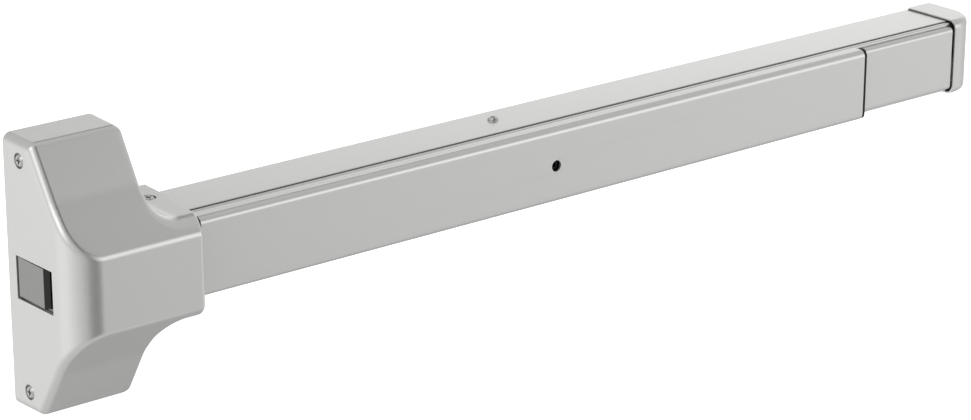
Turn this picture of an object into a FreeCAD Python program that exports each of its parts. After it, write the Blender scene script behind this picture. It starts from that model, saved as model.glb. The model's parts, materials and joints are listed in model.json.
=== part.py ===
import FreeCAD, Part
import math
import os
import re

from FreeCAD import Rotation, Vector

# Panic bar for one door leaf: a cast head with a sliding latch bolt, a push bar that rides in a rail,
# and the bell cranks and the rod that join them.
# The door lies in the plane y = 0 and the front faces -Y. +X runs along the rail, +Z is up, and the
# origin is the middle of the head's four fixing holes. The bar is held in and the bolt is flush.
os.makedirs("parts", exist_ok=True)
doc = FreeCAD.newDocument("panic_bar")
sheet = doc.addObject("Spreadsheet::Sheet", "Sizes")

SIZES = [
    ("head_high", 204.0, "height of the head cover"),
    ("head_deep", 85.0, "depth of the head cover from the door"),
    ("latch_side", 36.0, "from the origin to the latch side of the cover"),
    ("tower_right", 40.9, "from the origin to the right side of the tower"),
    ("tower_top_deep", 32.5, "depth of the tower at its top"),
    ("knee_deep", 58.0, "depth where the slope of the tower changes"),
    ("knee_high", 122.0, "height between the two changes of slope"),
    ("crease_top", 27.4, "top of the flat front face above the rail's middle"),
    ("crease_low", 29.3, "foot of the flat front face below the rail's middle"),
    ("knee_round", 100.0, "radius of the change of slope"),
    ("box_high", 79.2, "height of the box beside the tower"),
    ("box_end", 80.5, "from the origin to the end of the box at the door"),
    ("box_end_bend", 79.9, "the same where the end starts to lean"),
    ("box_bend_deep", 30.0, "depth where the end of the box starts to lean"),
    ("box_end_front", 73.2, "from the origin to the end of the box at the front"),
    ("box_end_round", 240.0, "radius of that lean"),
    ("neck_round", 20.0, "radius between tower and box"),
    ("corner_round", 24.0, "radius of the upright corner by the latch side"),
    ("edge_round", 6.5, "rounding of the cover's edges"),
    ("crease_round", 8.0, "rounding between the slopes and the flat front face"),
    ("box_round", 18.0, "rounding of the box's long front edges"),
    ("right_round", 4.0, "rounding of the tower's right edge along the slopes"),
    ("box_end_soft", 4.0, "rounding of the box's front edges at its end"),
    ("rim_round", 1.2, "rounding of the box's rim round the rail"),
    ("slope_lean", 36.0, "angle between the slopes and the door, for their inset"),
    ("boss", 16.0, "width of a screw boss"),
    ("boss_root", 0.5, "how far a boss reaches into the wall that carries it"),
    ("cut_over", 1.0, "how far a cut runs past the face that it opens"),
    ("pan_rim", 0.45, "height of a pan head's rim, as a share of the head's thickness"),
    ("pan_top", 0.38, "half the width of a pan head's flat top, as a share of the head's width"),
    ("cross_reach", 0.27, "reach of a cross recess, as a share of the head's width"),
    ("cross_half", 0.07, "half the width of a cross recess, as a share of the head's width"),
    ("cross_floor", 0.4, "height of a cross recess's floor, as a share of the head's thickness"),
    ("arm_soft", 0.9, "rounding of a crank's arm, as a share of its end's radius"),
    ("slot_soft", 0.45, "rounding of a pin's slot, as a share of the pin's width"),
    ("rivet_short", 0.25, "how far a rivet's shank ends inside the rail's back"),
    ("pin_over", 0.5, "how far a pin stands out of the plate that it passes"),
    ("tab_gap", 0.7, "room between a boss of the head cover and its tab"),
    ("thread_gap", 0.05, "room round a thread"),
    ("cover_wall", 2.8, "wall of the head cover"),
    ("cover_draft", 1.2, "draft angle of the casting"),
    ("opening_back", 10.2, "latch opening, edge nearest the door"),
    ("opening_front", 55.7, "latch opening, edge furthest from the door"),
    ("opening_top", 14.6, "latch opening, upper edge above the rail's middle"),
    ("opening_low", 17.7, "latch opening, lower edge below the rail's middle"),
    ("side_screw_deep", 19.8, "depth of the screws in the latch side"),
    ("side_screw_in", 15.6, "from the head's ends to the screws in the latch side"),
    ("top_screw_along", 66.0, "from the origin to the screws in the box"),
    ("top_screw_deep", 25.0, "depth of the screws in the box"),
    ("recess_gap", 0.8, "room round a screw head in its recess"),
    ("recess_deep", 2.0, "depth of a screw recess"),
    ("screw_long", 6.0, "length of a side screw's shank"),
    ("box_screw_long", 8.0, "length of a box screw's shank"),
    ("keeper_screw_long", 6.0, "length of a keeper screw's shank"),
    ("screw_head", 10.0, "width of a pan head"),
    ("screw_head_thick", 2.2, "thickness of a pan head"),
    ("screw_shank", 5.0, "width of a screw shank"),
    ("small_head", 8.4, "width of a small pan head"),
    ("small_head_thick", 2.2, "thickness of a small pan head"),
    ("small_shank", 4.0, "width of a small shank"),
    ("screw_gap", 0.3, "room round a shank in a clearance hole"),
    ("plate", 3.0, "thickness of the chassis plate and of the rail's back"),
    ("chassis_right", 35.0, "from the origin to the right edge of the chassis"),
    ("chassis_gap", 1.2, "room between chassis and cover"),
    ("fixing_along", 36.0, "fixing holes, centre to centre along the rail"),
    ("fixing_up", 140.0, "fixing holes, centre to centre in height"),
    ("fixing_hole", 6.4, "width of a fixing hole"),
    ("tab_wide", 14.0, "width of a tab that takes a cover screw"),
    ("bolt_top", 13.9, "top of the latch bolt above the rail's middle"),
    ("bolt_low", 15.5, "underside of the latch bolt below the rail's middle"),
    ("bolt_back", 11.6, "depth where the nose of the bolt starts"),
    ("bolt_flat", 44.9, "depth where the bevel of the bolt starts"),
    ("bolt_front", 48.5, "depth where the nose of the bolt ends"),
    ("bevel_long", 3.5, "length of the bevel along the bolt"),
    ("bolt_sink", 0.4, "how far the nose lies behind the cover's face"),
    ("nose_long", 23.5, "length of the bolt's nose"),
    ("tail_long", 32.0, "length of the bolt's body behind the nose"),
    ("case_wall", 2.0, "wall of the latch case"),
    ("case_gap", 0.3, "room between the bolt and its case"),
    ("case_start", 31.5, "from the origin to the case's latch end"),
    ("case_back", 9.4, "depth of the outside of the case's rear wall"),
    ("case_end", 37.0, "from the origin to the inside of the case's rear wall"),
    ("case_foot", 11.0, "width of the feet of the case"),
    ("case_foot_end", 12.0, "from the origin to the rear end of the feet"),
    ("foot_screw_in", 8.0, "from a foot's end to its screw"),
    ("foot_screw_long", 4.4, "length of a foot screw's shank"),
    ("bolt_tail_front", 50.0, "depth of the front of the bolt's body"),
    ("nose_round", 1.0, "rounding of the bolt's nose"),
    ("travel", 19.0, "travel of the push bar and of the bolt"),
    ("rail_high", 63.0, "height of the rail"),
    ("rail_deep", 46.0, "depth of the rail's flat top"),
    ("rail_wall", 2.0, "wall of the rail"),
    ("lip_deep", 50.4, "depth of the rail with its lips"),
    ("lip_drop", 1.0, "step from the rail's top down to the lip"),
    ("rail_round", 0.8, "rounding of the rail's top edge"),
    ("lip_round", 1.4, "rounding of the lip"),
    ("mouth_high", 54.6, "height of the rail's mouth between the lips"),
    ("rail_start", 42.0, "from the origin to the rail's hidden end"),
    ("rail_end", 876.0, "from the origin to the rail's far end"),
    ("bar_start", 84.0, "from the origin to the bar's end beside the head"),
    ("bar_end", 754.0, "from the origin to the bar's far end"),
    ("bar_high", 60.8, "height of the push bar"),
    ("bar_front", 64.6, "depth of the bar's face when it is in"),
    ("bar_back", 51.0, "depth of the back edge of the bar's flanges"),
    ("bar_wall", 2.0, "wall of the push bar"),
    ("bar_round", 5.5, "rounding of the bar's front edges"),
    ("leg_back", 26.0, "depth of the back edge of the bar's legs"),
    ("leg_gap", 0.5, "room between a leg and the rail's lip"),
    ("leg_wall", 1.8, "wall of the bar's legs"),
    ("hole_along", 415.6, "from the origin to the dogging hole"),
    ("hole_wide", 9.0, "width of the dogging hole"),
    ("filler_gap", 10.5, "from the bar's far end to the start of the filler plate"),
    ("filler_high", 55.8, "height of the filler plate"),
    ("filler_front", 56.0, "depth of the filler plate's face"),
    ("filler_round", 4.0, "rounding of the filler plate's front edges"),
    ("filler_short", 6.0, "how far the filler plate ends inside the rail"),
    ("filler_back", 50.9, "depth of the back edge of the filler's flanges"),
    ("filler_leg_back", 40.0, "depth of the back edge of the filler's legs"),
    ("filler_wall", 1.8, "wall of the filler plate"),
    ("cap_lap", 3.1, "how far the end cap reaches over the rail"),
    ("cap_long", 30.0, "length of the end cap along the rail"),
    ("cap_wall", 1.5, "wall of the end cap"),
    ("cap_gap", 0.15, "room between cap and rail"),
    ("cap_front", 56.4, "depth of the end cap"),
    ("cap_round", 7.0, "rounding of the cap's long front edges"),
    ("cap_corner", 26.0, "rounding of the cap's upright corner"),
    ("cap_soft", 4.5, "rounding of the edges round the cap's end"),
    ("cap_screw_deep", 20.0, "depth of the cap's screw"),
    ("cap_screw_sink", 2.5, "depth of the recess of the cap's screw"),
    ("cap_screw_long", 6.0, "length of the cap screw's shank"),
    ("cap_boss", 14.0, "width of the cap's boss"),
    ("arm", 30.0, "length of both arms of a bell crank"),
    ("pivot_deep", 39.0, "depth of the bell cranks' pivots"),
    ("crank_near", 190.0, "from the origin to the near pivot"),
    ("crank_far", 640.0, "from the origin to the far pivot"),
    ("crank_plate", 3.0, "thickness of each plate of a bell crank"),
    ("crank_end", 5.2, "radius of the ends of a bell crank's arms"),
    ("hub_round", 6.5, "radius of a bell crank's hub"),
    ("pivot_pin", 6.0, "width of a pivot pin"),
    ("pivot_gap", 0.05, "radial room of a pivot pin in its hub"),
    ("link_pin", 5.0, "width of a link pin"),
    ("slot_gap", 0.18, "room between a link pin and the sides of its slot"),
    ("slot_play", 1.1, "room for the arc of a link pin, each way"),
    ("rod_thick", 3.0, "thickness of the actuator rod"),
    ("rod_wide", 11.0, "width of the actuator rod"),
    ("rod_gap", 0.5, "room between the rod and a crank's plates"),
    ("rod_start", 5.0, "from the origin to the rod's end in the bolt"),
    ("rod_flag_end", 40.0, "from the origin to the end of the rod's flag"),
    ("rod_flag_front", 34.0, "depth of the rod's flag"),
    ("rod_pin_deep", 28.0, "depth of the bolt's pin"),
    ("rod_beyond", 8.0, "length of the rod beyond its last slot"),
    ("pin_fit", 0.02, "radial room of a pressed pin"),
    ("rod_pin_along", 12.0, "from the origin to the pin of the bolt"),
    ("ear_inside", 24.0, "height between the ears of a crank bracket"),
    ("ear_thick", 2.5, "thickness of a bracket's ears and foot"),
    ("bracket_foot", 12.0, "width of the foot of a crank bracket"),
    ("bracket_deep", 46.0, "depth of a crank bracket"),
    ("bracket_round", 8.0, "rounding of a bracket's corners"),
    ("rivet_head", 5.6, "width of a rivet's head"),
    ("rivet_thick", 1.4, "thickness of a rivet's head"),
    ("rivet_shank", 3.2, "width of a rivet's shank"),
    ("bracket_wide", 26.0, "width of a crank bracket"),
    ("hanger_wide", 20.0, "width of a bar hanger"),
    ("hanger_foot", 2.5, "thickness of a hanger's foot"),
    ("latch_wire", 1.0, "width of the latch spring's wire"),
    ("latch_spring_round", 4.0, "radius of the latch spring"),
    ("latch_spring_apart", 15.0, "height between the two latch springs"),
    ("latch_spring_deep", 41.0, "depth of the latch springs"),
    ("latch_pocket", 24.0, "length of the spring pockets in the bolt"),
    ("keeper_deep", 24.0, "depth of the keeper's face"),
    ("keeper_thick", 3.0, "thickness of the keeper"),
    ("keeper_back", 39.6, "from the dogging hole back to the start of the keeper"),
    ("keeper_ahead", 18.4, "from the dogging hole on to the end of the keeper"),
    ("keeper_flange", 14.0, "length of the keeper's flanges"),
    ("keeper_screw_back", 26.6, "from the dogging hole back to the keeper's screws"),
    ("keeper_screw_deep", 19.0, "depth of the keeper's screws"),
    ("tongue_long", 17.0, "length of the spindle's tongue"),
    ("tongue_high", 5.0, "height of the spindle's tongue"),
    ("tongue_thick", 4.0, "thickness of the spindle's tongue"),
    ("tongue_gap", 0.8, "room round the tongue in its slot"),
    ("spindle_wide", 6.0, "width of the spindle's shaft"),
    ("spindle_head", 10.9, "width of the spindle's head"),
    ("spindle_head_thick", 6.0, "thickness of the spindle's head"),
    ("spindle_sink", 3.4, "how far the spindle's head lies behind the bar's face"),
    ("hex_key", 4.0, "width across flats of the socket"),
    ("hex_deep", 4.0, "depth of the socket"),
    ("holder_back", 47.0, "depth of the back of the spindle's holder"),
    ("holder_tube", 17.0, "width of the holder's tube"),
    ("tongue_back", 16.0, "depth of the back of the tongue"),
    ("holder_wide", 26.0, "width of the spindle's holder"),
    ("insert_show", 5.2, "length of the bar insert that shows beside the head"),
    ("insert_step", 1.0, "depth of the grooves of the insert"),
    ("insert_wall", 2.0, "wall of a bar insert"),
    ("insert_round", 3.0, "rounding of a bar insert"),
    ("far_show", 2.8, "thickness of the far insert's flange, which shows at the bar's end"),
    ("flange_in", 0.4, "how far that flange lies inside the bar's outline"),
    ("insert_plug", 22.0, "length of a bar insert inside the bar"),
    ("insert_gap", 0.3, "room between an insert and the bar"),
    ("rib_wide", 1.0, "width of the grooves of the insert"),
    ("joiner_start", 16.0, "from the origin to the start of the rail joiners"),
    ("joiner_end", 76.0, "from the origin to the end of the rail joiners"),
    ("joiner_thick", 3.0, "thickness of a rail joiner"),
    ("joiner_rivet", 9.0, "from a joiner's end to its rivet"),
    ("joiner_high", 9.0, "height of a rail joiner"),
    ("joiner_apart", 47.0, "height between the middles of the rail joiners"),
    ("end_tab_high", 20.0, "height of the end bracket's tab"),
    ("end_tab_deep", 34.0, "depth of the end bracket's tab"),
    ("end_joggle", 3.0, "step of the end bracket over the end of the rail"),
    ("end_rivet_in", 13.5, "from the rail's end back to the end bracket's rivets"),
    ("tab_room", 6.6, "from the end bracket's tab to the far side of the end cap"),
    ("bracket_lap", 23.5, "how far the end bracket reaches into the rail"),
    ("bracket_high", 44.0, "height of the end bracket"),
    ("end_fixing_out", 11.5, "from the rail's end to the end fixing holes"),
    ("end_fixing_up", 30.0, "end fixing holes, centre to centre"),
    ("end_fixing_hole", 5.5, "width of an end fixing hole"),
]
NAMES = {name for name, value, note in SIZES}
for row, (name, value, note) in enumerate(SIZES, start=1):
    sheet.set(f"A{row}", name)
    sheet.set(f"B{row}", str(value))
    sheet.set(f"C{row}", note)
    sheet.setAlias(f"B{row}", name)
doc.recompute()


def bind(text):
    """The expression with each size written as a cell of the sheet."""
    return re.sub(r"[a-z_]+", lambda m: "Sizes." + m.group(0) if m.group(0) in NAMES else m.group(0), text)


def value(text):
    """The number that an expression of sizes stands for."""
    result = sheet.evalExpression(bind(text))
    return float(getattr(result, "Value", result))


def neg(text):
    return f"-({text})"


def plane_of(body, role):
    """One of the body's own origin planes."""
    return next(f for f in body.Origin.OriginFeatures if f.Role == role)


def new_sketch(body, name, role, offset):
    """An empty sketch on the XY, XZ or YZ plane of the body, moved along the plane's normal."""
    sketch = body.newObject("Sketcher::SketchObject", name)
    sketch.AttachmentSupport = (plane_of(body, role + "_Plane"), [""])
    sketch.MapMode = "FlatFace"
    sketch.AttachmentOffset = FreeCAD.Placement(Vector(0, 0, value(offset)), Rotation())
    sketch.setExpression("AttachmentOffset.Base.z", bind(offset))
    return sketch


def pin_down(sketch, geo, pos, across, up):
    """Ties a point of the sketch to two expressions."""
    import Sketcher

    for kind, axis, text in (("DistanceX", -2, across), ("DistanceY", -1, up)):
        if abs(value(text)) < 1e-9:
            sketch.addConstraint(Sketcher.Constraint("PointOnObject", geo, pos, axis))
            continue
        index = sketch.addConstraint(Sketcher.Constraint(kind, -1, 1, geo, pos, value(text)))
        sketch.setExpression(f"Constraints[{index}]", bind(text))


def draw_circle(sketch, across, up, radius):
    import Sketcher

    centre = Vector(value(across), value(up), 0)
    geo = sketch.addGeometry(Part.Circle(centre, Vector(0, 0, 1), value(radius)), False)
    pin_down(sketch, geo, 3, across, up)
    index = sketch.addConstraint(Sketcher.Constraint("Radius", geo, value(radius)))
    sketch.setExpression(f"Constraints[{index}]", bind(radius))


def draw_outline(sketch, corners):
    """A closed outline. A corner is (across, up) or (across, up, radius of its rounding)."""
    import Sketcher

    count = len(corners)
    points = [Vector(value(c[0]), value(c[1]), 0) for c in corners]
    leave, arrive, centres = [], [], []
    for i, corner in enumerate(corners):
        if len(corner) < 3:
            leave.append(points[i])
            arrive.append(points[i])
            centres.append(None)
            continue
        back = (points[i - 1] - points[i]).normalize()
        ahead = (points[(i + 1) % count] - points[i]).normalize()
        half = back.getAngle(ahead) / 2
        radius = value(corner[2])
        arrive.append(points[i] + back * (radius / math.tan(half)))
        leave.append(points[i] + ahead * (radius / math.tan(half)))
        centres.append(points[i] + (back + ahead).normalize() * (radius / math.sin(half)))
    lines = []
    for i in range(count):
        segment = Part.LineSegment(leave[i], arrive[(i + 1) % count])
        lines.append(sketch.addGeometry(segment, False))
    for i, corner in enumerate(corners):
        before = lines[i - 1]
        after = lines[i]
        if centres[i] is None:
            sketch.addConstraint(Sketcher.Constraint("Coincident", before, 2, after, 1))
            pin_down(sketch, after, 1, corner[0], corner[1])
            continue
        turn = (points[i] - points[i - 1]).cross(points[(i + 1) % count] - points[i]).z
        radius = value(corner[2])
        circle = Part.Circle(centres[i], Vector(0, 0, 1), radius)
        first, last = (arrive[i], leave[i]) if turn > 0 else (leave[i], arrive[i])
        arc = Part.ArcOfCircle(circle, circle.parameter(first), circle.parameter(last))
        geo = sketch.addGeometry(arc, False)
        arc_in, arc_out = (1, 2) if turn > 0 else (2, 1)
        mark = sketch.addGeometry(Part.Point(points[i]), True)
        pin_down(sketch, mark, 1, corner[0], corner[1])
        sketch.addConstraint(Sketcher.Constraint("PointOnObject", mark, 1, before))
        sketch.addConstraint(Sketcher.Constraint("PointOnObject", mark, 1, after))
        sketch.addConstraint(Sketcher.Constraint("Tangent", before, 2, geo, arc_in))
        sketch.addConstraint(Sketcher.Constraint("Tangent", geo, arc_out, after, 1))
        index = sketch.addConstraint(Sketcher.Constraint("Radius", geo, radius))
        sketch.setExpression(f"Constraints[{index}]", bind(corner[2]))


def box_corners(left, right, low, high, radius=None):
    """The four corners of a rectangle, rounded or not."""
    corners = [(left, low), (right, low), (right, high), (left, high)]
    if radius is None:
        return corners
    return [corner + (radius,) for corner in corners]


def new_body(name):
    body = doc.addObject("PartDesign::Body", name)
    body.Label = name
    return body


def add_loops(sketch, loops):
    """Draws each loop: a list of corners, or (across, up, radius) for a circle."""
    for loop in loops:
        if isinstance(loop, tuple):
            draw_circle(sketch, *loop)
        else:
            draw_outline(sketch, loop)


def pad(body, name, role, start, length, loops):
    """Material from start over length along the plane's normal: +Z on XY, -Y on XZ, +X on YZ."""
    sketch = new_sketch(body, name + "_sketch", role, start)
    add_loops(sketch, loops)
    feature = body.newObject("PartDesign::Pad", name)
    feature.Profile = sketch
    feature.Length = value(length)
    feature.setExpression("Length", bind(length))
    body.Tip = feature
    doc.recompute()
    return feature


def pocket(body, name, role, start, length, loops):
    """A cut over the same stretch that pad would fill, which has to take something away."""
    before = body.Shape.Volume
    sketch = new_sketch(body, name + "_sketch", role, start)
    add_loops(sketch, loops)
    feature = body.newObject("PartDesign::Pocket", name)
    feature.Profile = sketch
    feature.Reversed = True
    feature.Length = value(length)
    feature.setExpression("Length", bind(length))
    body.Tip = feature
    doc.recompute()
    if body.Shape.Volume >= before - 1e-3:
        raise ValueError(f"{name} cuts nothing")
    return feature


def edges_where(shape, test):
    """The names of the edges whose middle point and edge pass a test."""
    found = []
    for number, edge in enumerate(shape.Edges, start=1):
        middle = edge.valueAt((edge.FirstParameter + edge.LastParameter) / 2)
        if test(middle, edge):
            found.append(f"Edge{number}")
    return found


def fillet(body, name, radius, test):
    """Rounds the edges that pass a test."""
    base = body.Tip
    feature = body.newObject("PartDesign::Fillet", name)
    feature.Base = (base, edges_where(base.Shape, test))
    feature.Radius = value(radius)
    feature.setExpression("Radius", bind(radius))
    body.Tip = feature
    doc.recompute()
    return feature


def turn_towards(direction):
    """The turn that points a screw's head, modelled along +Z, in a direction."""
    return Rotation(Vector(0, 0, 1), Vector(*direction))


def place(item, x, y, z, direction=(0, 0, 1)):
    """Puts an object at a point given by expressions."""
    item.Placement = FreeCAD.Placement(Vector(value(x), value(y), value(z)), turn_towards(direction))
    for axis, text in (("x", x), ("y", y), ("z", z)):
        item.setExpression(f"Placement.Base.{axis}", bind(text))
    return item


def pan_screw(name, head, thick, shank, length, cross):
    """A pan-head screw, head up, its seat at z = 0, with a cross recess where it can be reached."""
    body = new_body(name)
    sketch = new_sketch(body, name + "_sketch", "XZ", "0")
    draw_outline(sketch, [
        ("0", neg(length)), (f"{shank} / 2", neg(length)), (f"{shank} / 2", "0"), (f"{head} / 2", "0"),
        (f"{head} / 2", f"{thick} * pan_rim"), (f"{head} * pan_top", thick), ("0", thick),
    ])
    turned = body.newObject("PartDesign::Revolution", name + "_turned")
    turned.Profile = sketch
    turned.ReferenceAxis = (sketch, ["V_Axis"])
    turned.Angle = 360
    body.Tip = turned
    doc.recompute()
    if not cross:
        return body
    long = f"{head} * cross_reach"
    wide = f"{head} * cross_half"
    arms = [
        (wide, long), (neg(wide), long), (neg(wide), wide), (neg(long), wide),
        (neg(long), neg(wide)), (neg(wide), neg(wide)), (neg(wide), neg(long)), (wide, neg(long)),
        (wide, neg(wide)), (long, neg(wide)), (long, wide), (wide, wide),
    ]
    pocket(body, name + "_cross", "XY", f"{thick} * cross_floor", thick, [arms])
    return body


def group(name, members):
    """Separate solids that share one sub-part."""
    item = doc.addObject("Part::Compound", name)
    item.Links = members
    item.Label = name
    return item


def cylinder(name, radius, length):
    item = doc.addObject("Part::Cylinder", name)
    item.setExpression("Radius", bind(radius))
    item.setExpression("Height", bind(length))
    return item


# Places that several pieces share.
HALF_RAIL = "rail_high / 2"
RAIL_INSIDE = "rail_high / 2 - rail_wall"
BAR_INSIDE = "bar_front - bar_wall"
LEG_OUT = "mouth_high / 2 - leg_gap"
ROD_MIDDLE = "pivot_deep - (arm + sqrt(arm * arm - travel * travel / 4)) / 2"
ROD_BACK = f"({ROD_MIDDLE}) - rod_wide / 2"
BOLT_NOSE = "-latch_side + bolt_sink + bolt_back * tan(cover_draft)"
BODY_START = "-latch_side + nose_long"
BODY_END = "-latch_side + nose_long + tail_long"
CASE_TOP = "bolt_top + case_gap"
CASE_LOW = "-bolt_low - case_gap"
PLATE_IN = "rod_thick / 2 + rod_gap"
PLATE_OUT = "rod_thick / 2 + rod_gap + crank_plate"
KEEPER_START = "hole_along - keeper_back"
KEEPER_END = "hole_along + keeper_ahead"
KEEPER_SCREW_X = "hole_along - keeper_screw_back"
CAP_START = "rail_end - cap_lap"
CAP_END = "rail_end - cap_lap + cap_long"
BRACKET_END = f"{CAP_END} - tab_room"


def head_form(name, inset, front_round):
    """The solid outline of the head, drawn in by the inset."""
    body = new_body(name)
    half = f"(head_high / 2 - {inset})"
    box = f"(box_high / 2 - {inset})"
    right = f"(tower_right - {inset})"
    left = f"(-latch_side + {inset})"
    neck = f"(neck_round + {inset})"
    front = f"(head_deep - {inset})"
    form = pad(body, name + "_front", "XZ", "0", front, [[
        (left, neg(half)), (right, neg(half)),
        (right, neg(box), neck), (f"box_end - {inset}", neg(box)),
        (f"box_end - {inset}", box), (right, box, neck),
        (right, half), (left, half),
    ]])
    form.TaperAngle = -value("cover_draft")
    form.setExpression("TaperAngle", bind("-cover_draft"))
    doc.recompute()
    far = "box_end + neck_round"
    pocket(body, name + "_end", "XY", "-head_high", "2 * head_high", [[
        (f"box_end - {inset}", "neck_round"), (f"box_end - {inset}", "0"),
        (f"box_end_bend - {inset}", "-box_bend_deep", "box_end_round"),
        (f"box_end_front - {inset}", "-head_deep"),
        (f"box_end_front - {inset}", "-head_deep - neck_round"), (far, "-head_deep - neck_round"),
        (far, "neck_round"),
    ]])
    deep = -value(front)
    fillet(body, name + "_corner", front_round,
           lambda p, e: p.x < 0 and abs(p.y - deep) < 0.01 and abs(p.z) < 1)
    out = f"{inset} * cos(slope_lean)"
    down = f"{inset} * sin(slope_lean)"
    for side, sign, crease in (("upper", "", "crease_top"), ("lower", "-", "crease_low")):
        loop = [
            (f"-tower_top_deep + {out}", f"{sign}(head_high / 2 - {down})"),
            (f"-knee_deep + {out}", f"{sign}(knee_high / 2 - {down})", "knee_round"),
            (f"-head_deep + {out}", f"{sign}({crease} - {down})"),
            ("-head_deep - neck_round", f"{sign}({crease} - {down})"),
            ("-head_deep - neck_round", f"{sign}(head_high / 2 + neck_round)"),
            (f"-tower_top_deep + {out}", f"{sign}(head_high / 2 + neck_round)"),
        ]
        pocket(body, f"{name}_{side}_slope", "YZ", "-latch_side - neck_round",
               "latch_side + 3 * neck_round + box_end", [loop])
    return body


def block(name, x0, x1, y0, y1, z0, z1):
    """A plain block between two corners given by expressions, for cuts."""
    item = doc.addObject("Part::Box", name)
    for prop, low, high, axis in (("Length", x0, x1, "x"), ("Width", y0, y1, "y"), ("Height", z0, z1, "z")):
        item.setExpression(prop, bind(f"({high}) - ({low})"))
        item.setExpression(f"Placement.Base.{axis}", bind(low))
    return item


def rod_cut(name, x, y, z, radius, length, direction):
    """A plain cylinder from a point along a direction."""
    return place(cylinder(name, radius, length), x, y, z, direction)


def fused(name, members):
    item = doc.addObject("Part::MultiFuse", name)
    item.Shapes = members
    return item


def cut(name, base, tools):
    """The base without the tools."""
    item = doc.addObject("Part::Cut", name)
    item.Base = base
    item.Tool = tools[0] if len(tools) == 1 else fused(name + "_tools", tools)
    item.Label = name
    doc.recompute()
    return item


def face_role(face):
    """What a face of the head's form is: back, front, left, right, top, box, end, slope, neck or corner."""
    first, last, low, high = face.ParameterRange
    normal = face.normalAt((first + last) / 2, (low + high) / 2)
    middle = face.CenterOfMass
    if abs(normal.y) > 0.99:
        return "back" if middle.y > -value("cover_wall") else "front"
    if abs(normal.z) > 0.9:
        return "top" if abs(middle.z) > value("(head_high + box_high) / 4") else "box"
    if normal.x < -0.9:
        return "left"
    if normal.x > 0.9:
        return "end" if middle.x > value("(tower_right + box_end_front) / 2") else "right"
    if abs(normal.z) < 0.2:
        return "corner"
    return "neck" if abs(normal.x) > 0.2 else "slope"


def round_edges(name, base, rules):
    """Rounds the edges between two kinds of faces, with a radius that may grow with the depth."""
    item = doc.addObject("Part::Fillet", name)
    item.Base = base
    sides = {}
    for face in base.Shape.Faces:
        for edge in face.Edges:
            sides.setdefault(edge.hashCode(), set()).add(face_role(face))
    chosen = []
    for faces, (shallow, deep) in rules.items():
        edges = [(number, edge) for number, edge in enumerate(base.Shape.Edges, start=1)
                 if sides[edge.hashCode()] == set(faces)]
        depths = [-vertex.Point.y for number, edge in edges for vertex in edge.Vertexes]
        start, span = min(depths), max(max(depths) - min(depths), 1e-6)
        for number, edge in edges:
            ends = (edge.Vertexes[0].Point, edge.Vertexes[-1].Point)
            shares = [(-point.y - start) / span for point in ends]
            chosen.append((number,) + tuple(value(shallow) * (1 - k) + value(deep) * k for k in shares))
    item.Edges = chosen
    doc.recompute()
    return item


def head_edges(inset):
    """How the edges of the head's form are rounded, drawn in by the inset."""
    edge = f"edge_round - {inset}"
    crease = f"crease_round - {inset}"
    box = f"box_round - {inset}"
    right = f"right_round - {inset}"
    end = f"box_end_soft - {inset}"
    return {
        ("top", "left"): (edge, edge),
        ("top", "right"): (edge, edge),
        ("top", "slope"): (edge, edge),
        ("left", "slope"): (edge, edge),
        ("corner", "slope"): (edge, edge),
        ("right", "slope"): (right, right),
        ("neck", "slope"): (right, box),
        ("box", "slope"): (box, box),
        ("front", "slope"): (crease, crease),
        ("end", "slope"): (end, end),
        ("end", "front"): (end, end),
        ("end", "box"): ("rim_round", "rim_round"),
    }


def head_cover():
    """One casting: a tower with a deep middle and a box over the rail's end, open to the door."""
    outer = head_form("cover_outer", "0", "corner_round")
    inner = head_form("cover_inner", "cover_wall", "corner_round - cover_wall")
    doc.recompute()
    inside = head_edges("cover_wall")
    for faces in (("right", "slope"), ("neck", "slope"), ("box", "slope")):
        del inside[faces]
    rounded = round_edges("outer_rounded", outer, head_edges("0"))
    shell = cut("cover_shell", rounded, [round_edges("inner_rounded", inner, inside)])
    bosses = []
    cutters = [
        block("latch_window", "-latch_side - cut_over", "-latch_side + 2 * cover_wall", "-opening_front",
              "-opening_back", "-opening_low", "opening_top"),
        block("rail_notch", "top_screw_along + boss / 2", "box_end + cut_over", "-lip_deep - recess_gap / 2",
              "cut_over", "-rail_high / 2 - recess_gap / 2", "rail_high / 2 + recess_gap / 2"),
    ]
    for side, up in (("upper", 1), ("lower", -1)):
        y = "-side_screw_deep"
        z = f"{up} * ({SIDE_SCREW_UP})"
        bosses.append(rod_cut(f"side_boss_{side}", f"{SIDE_SEAT} + boss_root", y, z, "boss / 2",
                              f"-latch_side + cover_wall + chassis_gap - ({SIDE_SEAT}) - tab_gap", (1, 0, 0)))
        cutters.append(rod_cut(f"side_recess_{side}", SIDE_SEAT, y, z, "screw_head / 2 + recess_gap",
                               "recess_deep + cover_wall", (-1, 0, 0)))
        cutters.append(rod_cut(f"side_hole_{side}", f"{SIDE_SEAT} - cut_over", y, z,
                               "screw_shank / 2 + screw_gap", "screw_long + 2 * cut_over", (1, 0, 0)))
        x = "top_screw_along"
        y = "-top_screw_deep"
        z = f"{up} * ({BOX_SEAT})"
        bosses.append(rod_cut(f"box_boss_{side}", x, y, f"{up} * ({BOX_SEAT} - boss_root)", "boss / 2",
                              f"{BOX_SEAT} - boss_root - rail_high / 2 - recess_gap / 2", (0, 0, -up)))
        cutters.append(rod_cut(f"box_recess_{side}", x, y, z, "screw_head / 2 + recess_gap",
                               "recess_deep + cover_wall", (0, 0, up)))
        cutters.append(rod_cut(f"box_hole_{side}", x, y, z, "screw_shank / 2 + screw_gap", "box_screw_long",
                               (0, 0, -up)))
    return cut("head_cover", fused("cover_bossed", [shell] + bosses), cutters)


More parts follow.
